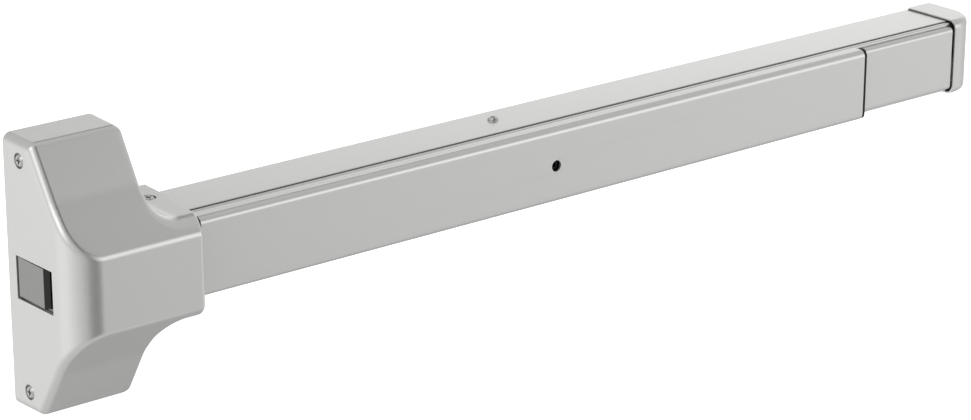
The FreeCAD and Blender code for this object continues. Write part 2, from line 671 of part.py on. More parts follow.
SIDE_SEAT = "-latch_side + side_screw_deep * tan(cover_draft) + recess_deep"
SIDE_SCREW_UP = "head_high / 2 - side_screw_in"
BOX_SEAT = "box_high / 2 - top_screw_deep * tan(cover_draft) - recess_deep"
CASE_OUT = {1: f"{CASE_TOP} + case_wall", -1: f"{CASE_LOW} - case_wall"}
FOOT_SCREWS = [
    (x, f"{CASE_OUT[up]} + {up} * case_foot / 2")
    for x in ("-case_start + foot_screw_in", "case_foot_end - foot_screw_in") for up in (1, -1)
]
JOINER_RIVETS = [
    (x, f"{up} * joiner_apart / 2")
    for x in ("joiner_start + joiner_rivet", "joiner_end - joiner_rivet") for up in (1, -1)
]
BRACKET_RIVETS = [
    (crank, f"{up} * (ear_inside / 2 + ear_thick + bracket_foot / 2)")
    for crank in ("crank_near", "crank_far") for up in (1, -1)
]
END_RIVETS = [("rail_end - end_rivet_in", f"{up} * end_fixing_up / 2") for up in (1, -1)]


def head_chassis():
    """The steel plate on the door, with two tabs for the cover's screws."""
    body = new_body("head_chassis")
    left = "-latch_side + cover_wall + chassis_gap"
    up = "head_high / 2 - cover_wall - chassis_gap"
    corners = box_corners(left, "chassis_right", neg(up), up, "plate")
    loops = [corners]
    for across in ("-fixing_along / 2", "fixing_along / 2"):
        for height in ("-fixing_up / 2", "fixing_up / 2"):
            loops.append((across, height, "fixing_hole / 2"))
    for x, z in FOOT_SCREWS:
        loops.append((x, z, "small_shank / 2 + thread_gap"))
    for x, z in JOINER_RIVETS[:2]:
        loops.append((x, z, "rivet_shank / 2 + thread_gap"))
    pad(body, "chassis_plate", "XZ", "0", "plate", loops)
    reach = "-side_screw_deep - tab_wide / 2"
    for side, sign in (("upper", ""), ("lower", "-")):
        middle = f"{sign}({SIDE_SCREW_UP})"
        tab = box_corners(reach, "-plate / 2", f"{middle} - tab_wide / 2", f"{middle} + tab_wide / 2")
        hole = ("-side_screw_deep", middle, "screw_shank / 2 + thread_gap")
        pad(body, f"chassis_tab_{side}", "YZ", left, "plate", [tab, hole])
    return body


def latch_case():
    """The case that guides the bolt, on two feet, with a slot for the rod."""
    body = new_body("latch_case")
    start = "-case_start"
    long = "case_start + case_end + case_wall"
    inside = "bolt_tail_front + case_gap"
    pad(body, "case_block", "YZ", start, long, [
        box_corners(f"-({inside}) - case_wall", "-plate", CASE_OUT[-1], CASE_OUT[1]),
    ])
    pocket(body, "case_bore", "YZ", "-case_start - cut_over", "case_start + cut_over + case_end", [
        box_corners(neg(inside), "-bolt_back + case_gap", CASE_LOW, CASE_TOP),
    ])
    pocket(body, "case_relief", "YZ", "-case_start - cut_over", f"2 * cut_over + {long}", [
        box_corners("-case_back", "0", CASE_LOW, CASE_TOP),
    ])
    pocket(body, "case_slot", "XY", neg("rod_thick / 2 + rod_gap"), "rod_thick + 2 * rod_gap", [
        box_corners("rod_start - travel - 2 * rod_gap", "case_end + case_wall + cut_over",
                    "-rod_flag_front - rod_gap", "-plate + cut_over"),
    ])
    for side, up in (("upper", 1), ("lower", -1)):
        edge = f"{CASE_OUT[up]} - {up} * case_wall / 2"
        far = f"{CASE_OUT[up]} + {up} * case_foot"
        loops = [box_corners(start, "case_foot_end", edge, far)]
        for x, z in FOOT_SCREWS:
            if value(z) * up > 0:
                loops.append((x, z, "small_shank / 2 + screw_gap"))
        pad(body, f"case_foot_{side}", "XZ", "plate", "case_wall", loops)
    return body


def latch_bolt():
    """The bolt: a bevelled nose and a body that holds the rod's end and two springs."""
    body = new_body("latch_bolt")
    pad(body, "bolt_block", "XY", "-bolt_low", "bolt_low + bolt_top", [[
        (BOLT_NOSE, "-bolt_back", "nose_round"), (BOLT_NOSE, "-bolt_flat", "nose_round"),
        (f"{BOLT_NOSE} + bevel_long", "-bolt_front", "nose_round"), (BODY_START, "-bolt_front"),
        (BODY_START, "-bolt_tail_front"), (BODY_END, "-bolt_tail_front"), (BODY_END, "-bolt_back"),
    ]])
    pocket(body, "bolt_slot", "XY", neg("rod_thick / 2 + case_gap"), "rod_thick + 2 * case_gap", [
        box_corners("rod_start - rod_gap", f"{BODY_END} + cut_over", "-rod_flag_front - rod_gap",
                    "-bolt_back + cut_over"),
    ])
    pocket(body, "bolt_pin_hole", "XY", "-bolt_low - cut_over", "bolt_low + bolt_top + 2 * cut_over", [
        ("rod_pin_along", "-rod_pin_deep", "link_pin / 2 + pin_fit"),
    ])
    room = "latch_spring_round + latch_wire / 2 + screw_gap * 2"
    pocket(body, "bolt_spring_holes", "YZ", f"{BODY_END} - latch_pocket", "latch_pocket + cut_over", [
        ("-latch_spring_deep", "latch_spring_apart / 2", room),
        ("-latch_spring_deep", "-latch_spring_apart / 2", room),
    ])
    return body


def actuator_rod():
    """A flat rod with a flag in the bolt and an upright slot for each crank's pin."""
    body = new_body("actuator_rod")
    back = f"-({ROD_BACK})"
    front = f"-({ROD_BACK}) - rod_wide"
    end = "crank_far + travel / 2 + rod_beyond"
    half = "rod_thick / 2"
    loops = [
        [("rod_start", back, "plate"), ("rod_start", "-rod_flag_front", "plate"),
         ("rod_flag_end", "-rod_flag_front", "plate"), ("rod_flag_end", front, "plate"),
         (end, front, "plate"), (end, back, "plate")],
        ("rod_pin_along", "-rod_pin_deep", "link_pin / 2 + pivot_gap"),
    ]
    for crank in ("crank_near", "crank_far"):
        wide = "link_pin / 2 + slot_gap"
        tall = "link_pin / 2 + slot_play"
        loops.append(box_corners(f"{crank} + travel / 2 - ({wide})", f"{crank} + travel / 2 + {wide}",
                                 f"-({ROD_MIDDLE}) - ({tall})", f"-({ROD_MIDDLE}) + {tall}",
                                 "link_pin * slot_soft"))
    pad(body, "rod_blank", "XY", neg(half), "rod_thick", loops)
    return body


def base_rail():
    """The extruded channel along the door, with a stepped lip at each edge of its mouth."""
    body = new_body("base_rail")
    upper = [
        ("0", HALF_RAIL), ("-rail_deep", HALF_RAIL, "rail_round"), ("-rail_deep", f"{HALF_RAIL} - lip_drop"),
        ("-lip_deep", f"{HALF_RAIL} - lip_drop", "lip_round"), ("-lip_deep", "mouth_high / 2"),
        ("-rail_deep + lip_drop", "mouth_high / 2"), ("-rail_deep + lip_drop", RAIL_INSIDE),
        ("-plate", RAIL_INSIDE),
    ]
    lower = [(c[0], neg(c[1])) + c[2:] for c in reversed(upper)]
    pad(body, "rail_section", "YZ", "rail_start", "rail_end - rail_start", [upper + lower])
    pocket(body, "rail_wall_holes", "XY", "-rail_high", "2 * rail_high", [
        ("top_screw_along", "-top_screw_deep", "screw_shank / 2 + thread_gap"),
        (KEEPER_SCREW_X, "-keeper_screw_deep", "small_shank / 2 + thread_gap"),
    ])
    holes = JOINER_RIVETS[2:] + BRACKET_RIVETS + END_RIVETS
    pocket(body, "rail_back_holes", "XZ", "-cut_over", "plate + 2 * cut_over", [
        (x, z, "rivet_shank / 2 + thread_gap") for x, z in holes
    ])
    return body


def rivet(name):
    """A flat-headed rivet, head up, its seat at z = 0."""
    body = new_body(name)
    sketch = new_sketch(body, name + "_sketch", "XZ", "0")
    draw_outline(sketch, [
        ("0", "-plate - ear_thick + rivet_short"), ("rivet_shank / 2", "-plate - ear_thick + rivet_short"),
        ("rivet_shank / 2", "0"), ("rivet_head / 2", "0"), ("rivet_head / 2", "rivet_thick"),
        ("0", "rivet_thick"),
    ])
    turned = body.newObject("PartDesign::Revolution", name + "_turned")
    turned.Profile = sketch
    turned.ReferenceAxis = (sketch, ["V_Axis"])
    turned.Angle = 360
    body.Tip = turned
    return body


def rivets():
    """The rivets that hold joiners, crank brackets and end bracket."""
    seats = [(x, "-plate - joiner_thick", z) for x, z in JOINER_RIVETS]
    seats += [(x, "-plate - ear_thick", z) for x, z in BRACKET_RIVETS]
    seats += [(x, "-plate - end_joggle", z) for x, z in END_RIVETS]
    made = []
    for number, (x, y, z) in enumerate(seats):
        made.append(place(rivet(f"rivet_{number + 1:02d}"), x, y, z, (0, -1, 0)))
    return group("rail_rivets", made)


def rail_joiners():
    """Two straps that join the rail to the chassis."""
    straps = []
    for side, up in (("upper", 1), ("lower", -1)):
        body = new_body(f"joiner_{side}")
        middle = f"{up} * joiner_apart / 2"
        loops = [box_corners("joiner_start", "joiner_end", f"{middle} - joiner_high / 2",
                             f"{middle} + joiner_high / 2", "plate")]
        for x, z in JOINER_RIVETS:
            if value(z) * up > 0:
                loops.append((x, z, "rivet_shank / 2 + thread_gap"))
        pad(body, f"joiner_{side}_pad", "XZ", "plate", "joiner_thick", loops)
        straps.append(body)
    return group("rail_joiners", straps)


def crank_brackets():
    """Two angles at each pivot, their feet riveted to the rail's back."""
    angles = []
    for place_name, crank in (("near", "crank_near"), ("far", "crank_far")):
        for side, up in (("upper", 1), ("lower", -1)):
            name = f"{place_name}_angle_{side}"
            body = new_body(name)
            inner = "ear_inside / 2"
            start = inner if up > 0 else f"-({inner}) - ear_thick"
            left = f"{crank} - bracket_wide / 2"
            right = f"{crank} + bracket_wide / 2"
            pad(body, name + "_ear", "XY", start, "ear_thick", [
                [(left, "-plate"), (right, "-plate"), (right, "-bracket_deep", "bracket_round"),
                 (left, "-bracket_deep", "bracket_round")],
                (crank, "-pivot_deep", "pivot_pin / 2 + pin_fit"),
            ])
            low = f"{up} * ({inner})"
            high = f"{up} * ({inner} + ear_thick + bracket_foot)"
            loops = [box_corners(left, right, low, high)]
            for x, z in BRACKET_RIVETS:
                if x == crank and value(z) * up > 0:
                    loops.append((x, z, "rivet_shank / 2 + thread_gap"))
            pad(body, name + "_foot", "XZ", "plate", "ear_thick", loops)
            angles.append(body)
    return group("crank_brackets", angles)


def pivot_pins():
    """A pin through each pair of angles."""
    pins = []
    for place_name, crank in (("near", "crank_near"), ("far", "crank_far")):
        pin = cylinder(f"{place_name}_pivot", "pivot_pin / 2", "ear_inside + 2 * ear_thick + 2 * pin_over")
        pins.append(place(pin, crank, "-pivot_deep", "-ear_inside / 2 - ear_thick - pin_over"))
    return group("pivot_pins", pins)


TURN = "asin(travel / 2 / arm)"


def bell_crank(name, crank):
    """Two plates on a hub, with one arm along the rail and one towards the door."""
    body = new_body(name)
    end = "crank_end"
    soft = "crank_end * arm_soft"
    outline = [
        (end, f"-{end}", soft), (end, f"arm + {end}", soft), (f"-{end}", f"arm + {end}", soft),
        (f"-{end}", end, "2 * crank_end"), (f"-arm - {end}", end, soft), (f"-arm - {end}", f"-{end}", soft),
    ]
    pins = [("-arm", "0", "link_pin / 2 + pin_fit"), ("0", "arm", "link_pin / 2 + pin_fit")]
    pad(body, name + "_hub", "XY", f"-({PLATE_OUT})", f"2 * ({PLATE_OUT})", [("0", "0", "hub_round")])
    pad(body, name + "_upper", "XY", PLATE_IN, "crank_plate", [outline] + pins)
    pad(body, name + "_lower", "XY", f"-({PLATE_OUT})", "crank_plate", [outline] + pins)
    pocket(body, name + "_bore", "XY", f"-({PLATE_OUT}) - cut_over", f"2 * ({PLATE_OUT} + cut_over)", [
        ("0", "0", "pivot_pin / 2 + pivot_gap"),
    ])
    turn_on_pivot(body, crank)
    return body


def turn_on_pivot(item, crank):
    """Puts a piece of a crank on its pivot, turned to the pose of the bar held in."""
    item.Placement = FreeCAD.Placement(
        Vector(value(crank), -value("pivot_deep"), 0), Rotation(Vector(0, 0, -1), value(TURN)))
    item.setExpression("Placement.Base.x", bind(crank))
    item.setExpression("Placement.Base.y", bind("-pivot_deep"))
    item.setExpression("Placement.Rotation.Angle", bind(TURN))


def link_pins(name, crank):
    """The pin at the end of each arm of a crank."""
    pins = []
    for end, across, up in (("bar", "-arm", "0"), ("rod", "0", "arm")):
        body = new_body(f"{name}_{end}")
        pad(body, f"{name}_{end}_pad", "XY", f"-({PLATE_OUT}) - pin_over", f"2 * ({PLATE_OUT} + pin_over)", [
            (across, up, "link_pin / 2"),
        ])
        turn_on_pivot(body, crank)
        pins.append(body)
    return group(name, pins)


HANGER_X = "(arm + sqrt(arm * arm - travel * travel / 4)) / 2"


def bar_hangers():
    """A foot on the bar's inside with an ear that hooks over a crank's pin."""
    hangers = []
    for place_name, crank in (("near", "crank_near"), ("far", "crank_far")):
        body = new_body(f"{place_name}_hanger")
        middle = f"{crank} - ({HANGER_X})"
        left = f"{middle} - hanger_wide / 2"
        right = f"{middle} + hanger_wide / 2"
        pin_y = "-pivot_deep + travel / 2"
        wide = "link_pin / 2 + slot_play"
        tall = "link_pin / 2 + slot_gap"
        pad(body, f"{place_name}_hanger_ear", "XY", neg("rod_thick / 2"), "rod_thick", [
            [(left, neg(BAR_INSIDE)), (right, neg(BAR_INSIDE)), (right, f"{pin_y} + crank_end", "plate"),
             (left, f"{pin_y} + crank_end", "plate")],
            box_corners(f"{middle} - ({wide})", f"{middle} + {wide}", f"{pin_y} - ({tall})",
                        f"{pin_y} + {tall}", "link_pin * slot_soft"),
        ])
        pad(body, f"{place_name}_hanger_foot", "XZ", f"{BAR_INSIDE} - hanger_foot", "hanger_foot", [
            box_corners(left, right, f"-({LEG_OUT}) + leg_wall", f"{LEG_OUT} - leg_wall"),
        ])
        hangers.append(body)
    return group("bar_hangers", hangers)


def push_bar():
    """The extruded bar: a broad rounded face, two flanges and two legs that run in the rail."""
    body = new_body("push_bar")
    high = "bar_high / 2"
    leg_in = f"{LEG_OUT} - leg_wall"
    inside = "-bar_back - bar_wall"
    outer = [
        ("-bar_front", high, "bar_round"), ("-bar_back", high), ("-bar_back", LEG_OUT),
        ("-leg_back", LEG_OUT), ("-leg_back", leg_in), (inside, leg_in), (inside, f"{high} - bar_wall"),
        (neg(BAR_INSIDE), f"{high} - bar_wall", "bar_round - bar_wall"),
    ]
    mirrored = [(c[0], neg(c[1])) + c[2:] for c in reversed(outer)]
    pad(body, "bar_section", "YZ", "bar_start", "bar_end - bar_start", [outer + mirrored])
    pocket(body, "bar_hole", "XZ", f"{BAR_INSIDE} - cut_over", "bar_wall + 2 * cut_over", [
        ("hole_along", "0", "hole_wide / 2"),
    ])
    return body


def insert_ring(grow):
    """The outline of a bar insert, grown or drawn in."""
    half = f"bar_high / 2 - bar_wall - insert_gap + {grow}"
    front = f"-({BAR_INSIDE}) + insert_gap - {grow}"
    back = f"-bar_back - bar_wall - insert_gap + {grow}"
    return box_corners(front, back, neg(half), half, f"insert_round + {grow}")


def near_insert():
    """The dark ribbed piece that closes the bar beside the head."""
    body = new_body("near_insert")
    hollow = insert_ring("(-insert_wall)")
    pad(body, "near_plug", "YZ", "bar_start", "insert_plug", [insert_ring("0"), hollow])
    pad(body, "near_core", "YZ", "bar_start - insert_show", "insert_show", [insert_ring("0")])
    for number in range(3):
        start = f"bar_start - insert_show + {number} * (insert_show - rib_wide) / 2"
        pad(body, f"near_rib_{number + 1}", "YZ", start, "rib_wide", [insert_ring("insert_step")])
    return body


def far_insert():
    """The dark piece that closes the bar's far end, with a flange against the end of the bar."""
    body = new_body("far_insert")
    pad(body, "far_plug", "YZ", "bar_end - insert_plug", "insert_plug", [
        insert_ring("0"), insert_ring("(-insert_wall)"),
    ])
    pad(body, "far_flange", "YZ", "bar_end", "far_show", [insert_ring("(bar_wall + insert_gap - flange_in)")])
    return body


def dogging_spindle():
    """The turned spindle: a hex-socket head, a shaft and a flat tongue, on its own axis."""
    body = new_body("dogging_spindle")
    back = "bar_front - spindle_sink - spindle_head_thick"
    pad(body, "spindle_shaft", "XZ", "tongue_back", f"{back} - tongue_back", [("0", "0", "spindle_wide / 2")])
    pad(body, "spindle_cap", "XZ", back, "spindle_head_thick", [("0", "0", "spindle_head / 2")])
    pad(body, "spindle_tongue", "XZ", "tongue_back", "tongue_thick", [
        box_corners("-tongue_long / 2", "tongue_long / 2", "-tongue_high / 2", "tongue_high / 2",
                    "tongue_high / 3"),
    ])
    far = "hex_key / sqrt(3)"
    half = "hex_key / 2"
    pocket(body, "spindle_socket", "XZ", "bar_front - spindle_sink - hex_deep", "hex_deep + cut_over", [[
        (far, "0"), (f"{far} / 2", half), (f"-{far} / 2", half),
        (f"-{far}", "0"), (f"-{far} / 2", f"-{half}"), (f"{far} / 2", f"-{half}"),
    ]])
    return place(body, "hole_along", "0", "0")


def spindle_holder():
    """The flanged tube inside the bar that carries the spindle."""
    body = new_body("spindle_holder")
    pad(body, "holder_flange", "XZ", f"{BAR_INSIDE} - hanger_foot", "hanger_foot", [
        box_corners("-holder_wide / 2", "holder_wide / 2", f"-({LEG_OUT}) + leg_wall",
                    f"{LEG_OUT} - leg_wall"),
    ])
    pad(body, "holder_sleeve", "XZ", "holder_back", f"{BAR_INSIDE} - holder_back", [
        ("0", "0", "holder_tube / 2"),
    ])
    seat = "bar_front - spindle_sink - spindle_head_thick"
    length = f"{BAR_INSIDE} - holder_back + 2 * cut_over"
    pocket(body, "holder_bore", "XZ", "holder_back - cut_over", length, [
        ("0", "0", "spindle_wide / 2 + pivot_gap"),
    ])
    pocket(body, "holder_seat", "XZ", seat, f"{BAR_INSIDE} - ({seat}) + cut_over", [
        ("0", "0", "spindle_head / 2 + insert_gap"),
    ])
    return place(body, "hole_along", "0", "0")


def dogging_keeper():
    """The plate across the rail with a slot that the tongue turns behind."""
    body = new_body("dogging_keeper")
    half = f"{RAIL_INSIDE} - rod_gap / 2"
    pad(body, "keeper_plate", "XZ", "keeper_deep - keeper_thick", "keeper_thick", [
        box_corners(KEEPER_START, KEEPER_END, neg(half), half),
        box_corners("hole_along - tongue_long / 2 - tongue_gap", "hole_along + tongue_long / 2 + tongue_gap",
                    "-tongue_high / 2 - tongue_gap", "tongue_high / 2 + tongue_gap", "tongue_gap"),
    ])
    for side, sign in (("upper", ""), ("lower", "-")):
        pad(body, f"keeper_flange_{side}", "XZ", "keeper_deep - keeper_flange", "keeper_flange", [
            box_corners(KEEPER_START, KEEPER_END, f"{sign}({half} - keeper_thick)", f"{sign}({half})"),
        ])
    pocket(body, "keeper_holes", "XY", "-rail_high / 2", "rail_high", [
        (KEEPER_SCREW_X, "-keeper_screw_deep", "small_shank / 2 + thread_gap"),
    ])
    return body


def filler_plate():
    """The plate that closes the rail's mouth beyond the bar."""
    body = new_body("filler_plate")
    leg_in = f"{LEG_OUT} - filler_wall"
    upper = [
        ("-filler_front", "filler_high / 2", "filler_round"), ("-filler_back", "filler_high / 2"),
        ("-filler_back", LEG_OUT), ("-filler_leg_back", LEG_OUT), ("-filler_leg_back", leg_in),
        ("-filler_front + filler_wall", leg_in),
    ]
    lower = [(c[0], neg(c[1])) + c[2:] for c in reversed(upper)]
    length = "rail_end - filler_short - bar_end - filler_gap"
    pad(body, "filler_section", "YZ", "bar_end + filler_gap", length, [upper + lower])
    return body


def cap_form(name, inset, back):
    """The solid outline of the end cap, drawn in by the inset, from a depth to its front."""
    body = new_body(name)
    half = f"rail_high / 2 + cap_gap + cap_wall - {inset}"
    far = f"{CAP_END} - {inset}"
    front = f"-cap_front + {inset}"
    start = CAP_START if inset == "0" else f"{CAP_START} - cut_over"
    pad(body, name + "_plan", "XY", neg(half), f"2 * ({half})", [[
        (start, front), (far, front, f"cap_corner - {inset}"), (far, back), (start, back),
    ]])
    high = value(half)
    long_edge = value(f"cap_round - {inset}")
    end_edge = value(f"cap_soft - {inset}")
    item = doc.addObject("Part::Fillet", name + "_rounded")
    item.Base = body
    chosen = []
    for number, edge in enumerate(body.Shape.Edges, start=1):
        box = edge.BoundBox
        if abs(abs(box.ZMin) - high) > 1e-6 or box.ZLength > 1e-6:
            continue
        if box.YLength < 1e-6 and abs(box.YMin - value(front)) < 1e-6:
            chosen.append((number, long_edge, long_edge))
        elif box.XLength < 1e-6 and abs(box.XMin - value(far)) < 1e-6:
            chosen.append((number, end_edge, end_edge))
        elif box.XLength > 1 and box.YLength > 1:
            first, last = edge.Vertexes[0].Point, edge.Vertexes[-1].Point
            radii = (long_edge, end_edge) if first.y < last.y else (end_edge, long_edge)
            chosen.append((number,) + radii)
    item.Edges = chosen
    doc.recompute()
    return item


def end_cap():
    """A thin moulding round the rail's end, with a boss for its screw."""
    outer = cap_form("cap_outer", "0", "0")
    inner = cap_form("cap_inner", "cap_wall", "cut_over")
    shell = cut("cap_shell", outer, [inner])
    y = "-cap_screw_deep"
    boss = rod_cut("cap_boss_rod", f"{BRACKET_END} + insert_gap", y, "0", "cap_boss / 2",
                   "tab_room - cap_wall / 2 - insert_gap", (1, 0, 0))
    recess = rod_cut("cap_recess", f"{CAP_END} - cap_screw_sink", y, "0", "small_head / 2 + insert_gap",
                     "cap_screw_sink + cut_over", (1, 0, 0))
    hole = rod_cut("cap_hole", f"{BRACKET_END} - cut_over", y, "0", "small_shank / 2 + screw_gap / 2",
                   "tab_room + 2 * cut_over", (1, 0, 0))
    return cut("end_cap", fused("cap_bossed", [shell, boss]), [recess, hole])


def end_bracket():
    """The stepped plate that holds the rail's far end to the door, with a tab for the cap."""
    body = new_body("end_bracket")
    step = "rail_end + insert_gap"
    raised = "-plate - end_joggle"
    pad(body, "bracket_strip", "XY", "-bracket_high / 2", "bracket_high", [[
        ("rail_end - bracket_lap", raised), (f"{step} + plate", raised), (f"{step} + plate", "-plate"),
        (BRACKET_END, "-plate"), (BRACKET_END, "0"), (step, "0"), (step, "-plate"),
        ("rail_end - bracket_lap", "-plate"),
    ]])
    pad(body, "bracket_tab", "YZ", f"{BRACKET_END} - plate", "plate", [
        box_corners("-end_tab_deep", "-plate / 2", "-end_tab_high / 2", "end_tab_high / 2"),
        ("-cap_screw_deep", "0", "small_shank / 2 + thread_gap"),
    ])
    pocket(body, "bracket_holes", "XZ", "-cut_over", "plate + 2 * cut_over", [
        ("rail_end + end_fixing_out", "end_fixing_up / 2", "end_fixing_hole / 2"),
        ("rail_end + end_fixing_out", "-end_fixing_up / 2", "end_fixing_hole / 2"),
    ])
    pocket(body, "bracket_rivet_holes", "XZ", "plate - cut_over", "end_joggle + 2 * cut_over", [
        (x, z, "rivet_shank / 2 + thread_gap") for x, z in END_RIVETS
    ])
    return body


def big_screw(name, length):
    return pan_screw(name, "screw_head", "screw_head_thick", "screw_shank", length, True)


def small_screw(name, length, cross=True):
    return pan_screw(name, "small_head", "small_head_thick", "small_shank", length, cross)


def side_screws():
    screws = []
    for side, up in (("upper", 1), ("lower", -1)):
        screw = big_screw(f"side_screw_{side}", "screw_long")
        screws.append(place(screw, SIDE_SEAT, "-side_screw_deep", f"{up} * ({SIDE_SCREW_UP})", (-1, 0, 0)))
    return group("side_screws", screws)


def box_screws():
    screws = []
    for side, up in (("upper", 1), ("lower", -1)):
        screw = big_screw(f"box_screw_{side}", "box_screw_long")
        screws.append(place(screw, "top_screw_along", "-top_screw_deep", f"{up} * ({BOX_SEAT})", (0, 0, up)))
    return group("box_screws", screws)


def keeper_screws():
    screws = []
    for side, up in (("upper", 1), ("lower", -1)):
        screw = small_screw(f"keeper_screw_{side}", "keeper_screw_long")
        z = f"{up} * {HALF_RAIL}"
        screws.append(place(screw, KEEPER_SCREW_X, "-keeper_screw_deep", z, (0, 0, up)))
    return group("keeper_screws", screws)


def case_screws():
    screws = []
    for number, (x, z) in enumerate(FOOT_SCREWS):
        screw = small_screw(f"case_screw_{number + 1}", "foot_screw_long", False)
        screws.append(place(screw, x, "-plate - case_wall", z, (0, -1, 0)))
    return group("case_screws", screws)


def cap_screw():
    screw = small_screw("cap_screw", "cap_screw_long")
    return place(screw, f"{CAP_END} - cap_screw_sink", "-cap_screw_deep", "0", (1, 0, 0))


def bolt_pin():
    item = cylinder("bolt_pin", "link_pin / 2", "bolt_low + bolt_top - 2 * pin_over")
    return place(item, "rod_pin_along", "-rod_pin_deep", "-bolt_low + pin_over")


NODES = {
    "head_cover": head_cover(),
    "head_chassis": head_chassis(),
    "latch_case": latch_case(),
    "latch_bolt": latch_bolt(),
    "bolt_pin": bolt_pin(),
    "actuator_rod": actuator_rod(),
    "base_rail": base_rail(),
    "rail_joiners": rail_joiners(),
    "rail_rivets": rivets(),
    "crank_brackets": crank_brackets(),
    "pivot_pins": pivot_pins(),
    "near_crank": bell_crank("near_crank", "crank_near"),
    "near_link_pins": link_pins("near_link_pins", "crank_near"),
    "far_crank": bell_crank("far_crank", "crank_far"),
    "far_link_pins": link_pins("far_link_pins", "crank_far"),
    "bar_hangers": bar_hangers(),
    "push_bar": push_bar(),
    "near_insert": near_insert(),
    "far_insert": far_insert(),
    "dogging_spindle": dogging_spindle(),
    "spindle_holder": spindle_holder(),
    "dogging_keeper": dogging_keeper(),
    "filler_plate": filler_plate(),
    "end_cap": end_cap(),
    "end_bracket": end_bracket(),
    "side_screws": side_screws(),
    "box_screws": box_screws(),
    "keeper_screws": keeper_screws(),
    "case_screws": case_screws(),
    "cap_screw": cap_screw(),
}
doc.recompute()
for item in doc.Objects:
    if "Invalid" in item.State or "Error" in item.State:
        raise ValueError(f"{item.Name} did not rebuild: {item.State}")
for node, item in NODES.items():
    item.Label = node
    shape = item.Shape
    if shape.isNull() or not shape.isValid() or not shape.Solids:
        raise ValueError(f"{node} has no valid solid")
    shape.exportStep(f"parts/{node}.step")
    print(f"{node}: {len(shape.Solids)} solids, {shape.Volume:.0f} mm3")
print(f"{len(NODES)} nodes")
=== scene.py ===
import json
import math

import bmesh
import bpy
from mathutils import Matrix, Vector


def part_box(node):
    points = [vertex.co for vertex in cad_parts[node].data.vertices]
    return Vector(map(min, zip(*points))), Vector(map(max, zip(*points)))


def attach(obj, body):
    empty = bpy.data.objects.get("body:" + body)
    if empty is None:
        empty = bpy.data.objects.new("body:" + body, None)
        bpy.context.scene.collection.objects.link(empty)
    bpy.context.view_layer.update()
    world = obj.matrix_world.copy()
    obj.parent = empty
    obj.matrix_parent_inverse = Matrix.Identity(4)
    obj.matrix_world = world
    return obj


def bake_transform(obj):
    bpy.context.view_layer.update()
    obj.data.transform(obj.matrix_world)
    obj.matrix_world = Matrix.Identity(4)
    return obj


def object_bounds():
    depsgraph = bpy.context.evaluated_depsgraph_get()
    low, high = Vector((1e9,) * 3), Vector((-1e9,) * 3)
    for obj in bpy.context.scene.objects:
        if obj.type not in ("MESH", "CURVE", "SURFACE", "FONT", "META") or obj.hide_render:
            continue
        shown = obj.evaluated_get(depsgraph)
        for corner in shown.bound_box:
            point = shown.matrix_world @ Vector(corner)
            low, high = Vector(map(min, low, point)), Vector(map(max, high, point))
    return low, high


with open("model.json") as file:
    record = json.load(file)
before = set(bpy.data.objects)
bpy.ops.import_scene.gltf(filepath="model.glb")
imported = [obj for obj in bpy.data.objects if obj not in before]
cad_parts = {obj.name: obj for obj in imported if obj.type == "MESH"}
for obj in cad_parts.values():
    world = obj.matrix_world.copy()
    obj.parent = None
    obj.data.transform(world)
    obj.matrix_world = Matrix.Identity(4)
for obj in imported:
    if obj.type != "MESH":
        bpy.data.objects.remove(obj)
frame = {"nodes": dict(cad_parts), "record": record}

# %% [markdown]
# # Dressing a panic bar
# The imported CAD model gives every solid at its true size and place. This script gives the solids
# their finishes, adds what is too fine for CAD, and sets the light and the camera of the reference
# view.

nodes = frame["nodes"]
cad_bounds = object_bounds()
print("nodes:", len(nodes))

# %% [markdown]
# ## The camera
# The reference view looks from the latch side, a little from above. Its direction, distance and
# lens were solved from the rail's long edges and the head's height, so that the render lines up
# with the picture. A long lens keeps the rail's edges almost parallel, as they are in a catalogue
# picture.

# %% Camera
VIEW_AZIMUTH = math.radians(-39.28)
VIEW_ELEVATION = math.radians(19.25)
VIEW_ROLL = math.radians(0.141)
VIEW_PLACE = Vector((-1.1012, -1.8323, 0.7769))
LENS_MM = 117.5
SENSOR_MM = 36.0


def camera_turn(azimuth, elevation, roll):
    """The turn of a camera that looks from an azimuth and an elevation, rolled about its axis."""
    flat = math.cos(elevation)
    back = Vector((math.sin(azimuth) * flat, -math.cos(azimuth) * flat, math.sin(elevation)))
    right = Vector((math.cos(azimuth), math.sin(azimuth), 0))
    up = back.cross(right)
    rolled_right = right * math.cos(roll) + up * math.sin(roll)
    rolled_up = up * math.cos(roll) - right * math.sin(roll)
    return Matrix((rolled_right, rolled_up, back)).transposed()


camera_data = bpy.data.cameras.new("reference_view")
camera_data.lens = LENS_MM
camera_data.sensor_width = SENSOR_MM
camera_data.sensor_fit = "HORIZONTAL"
camera = bpy.data.objects.new("reference_view", camera_data)
turn = camera_turn(VIEW_AZIMUTH, VIEW_ELEVATION, VIEW_ROLL)
camera.matrix_world = Matrix.Translation(VIEW_PLACE) @ turn.to_4x4()
bpy.context.scene.collection.objects.link(camera)
bpy.context.scene.camera = camera
print("camera:", LENS_MM, "mm lens")

# %% [markdown]
# ## Nodes and their inputs
# The finishes, the springs and the studio's light are all trees of nodes in Blender. Each node is
# made, and each of its inputs then gets a fixed value or the output of another node. Written out,
# that is a line for each input. Two helpers shorten it, and serve every tree of this script.

# %% Node helpers
def feed(tree, node, inputs):
    """Sets a node's inputs, by name or number: an output is linked, and a value is fixed."""
    for socket, given in inputs.items():
        if isinstance(given, bpy.types.NodeSocket):
            tree.links.new(given, node.inputs[socket])
        else:
            node.inputs[socket].default_value = given


def add_node(tree, kind, inputs):
    """Adds a node of a kind to a tree, and sets its inputs."""
    node = tree.nodes.new(kind)
    feed(tree, node, inputs)
    return node


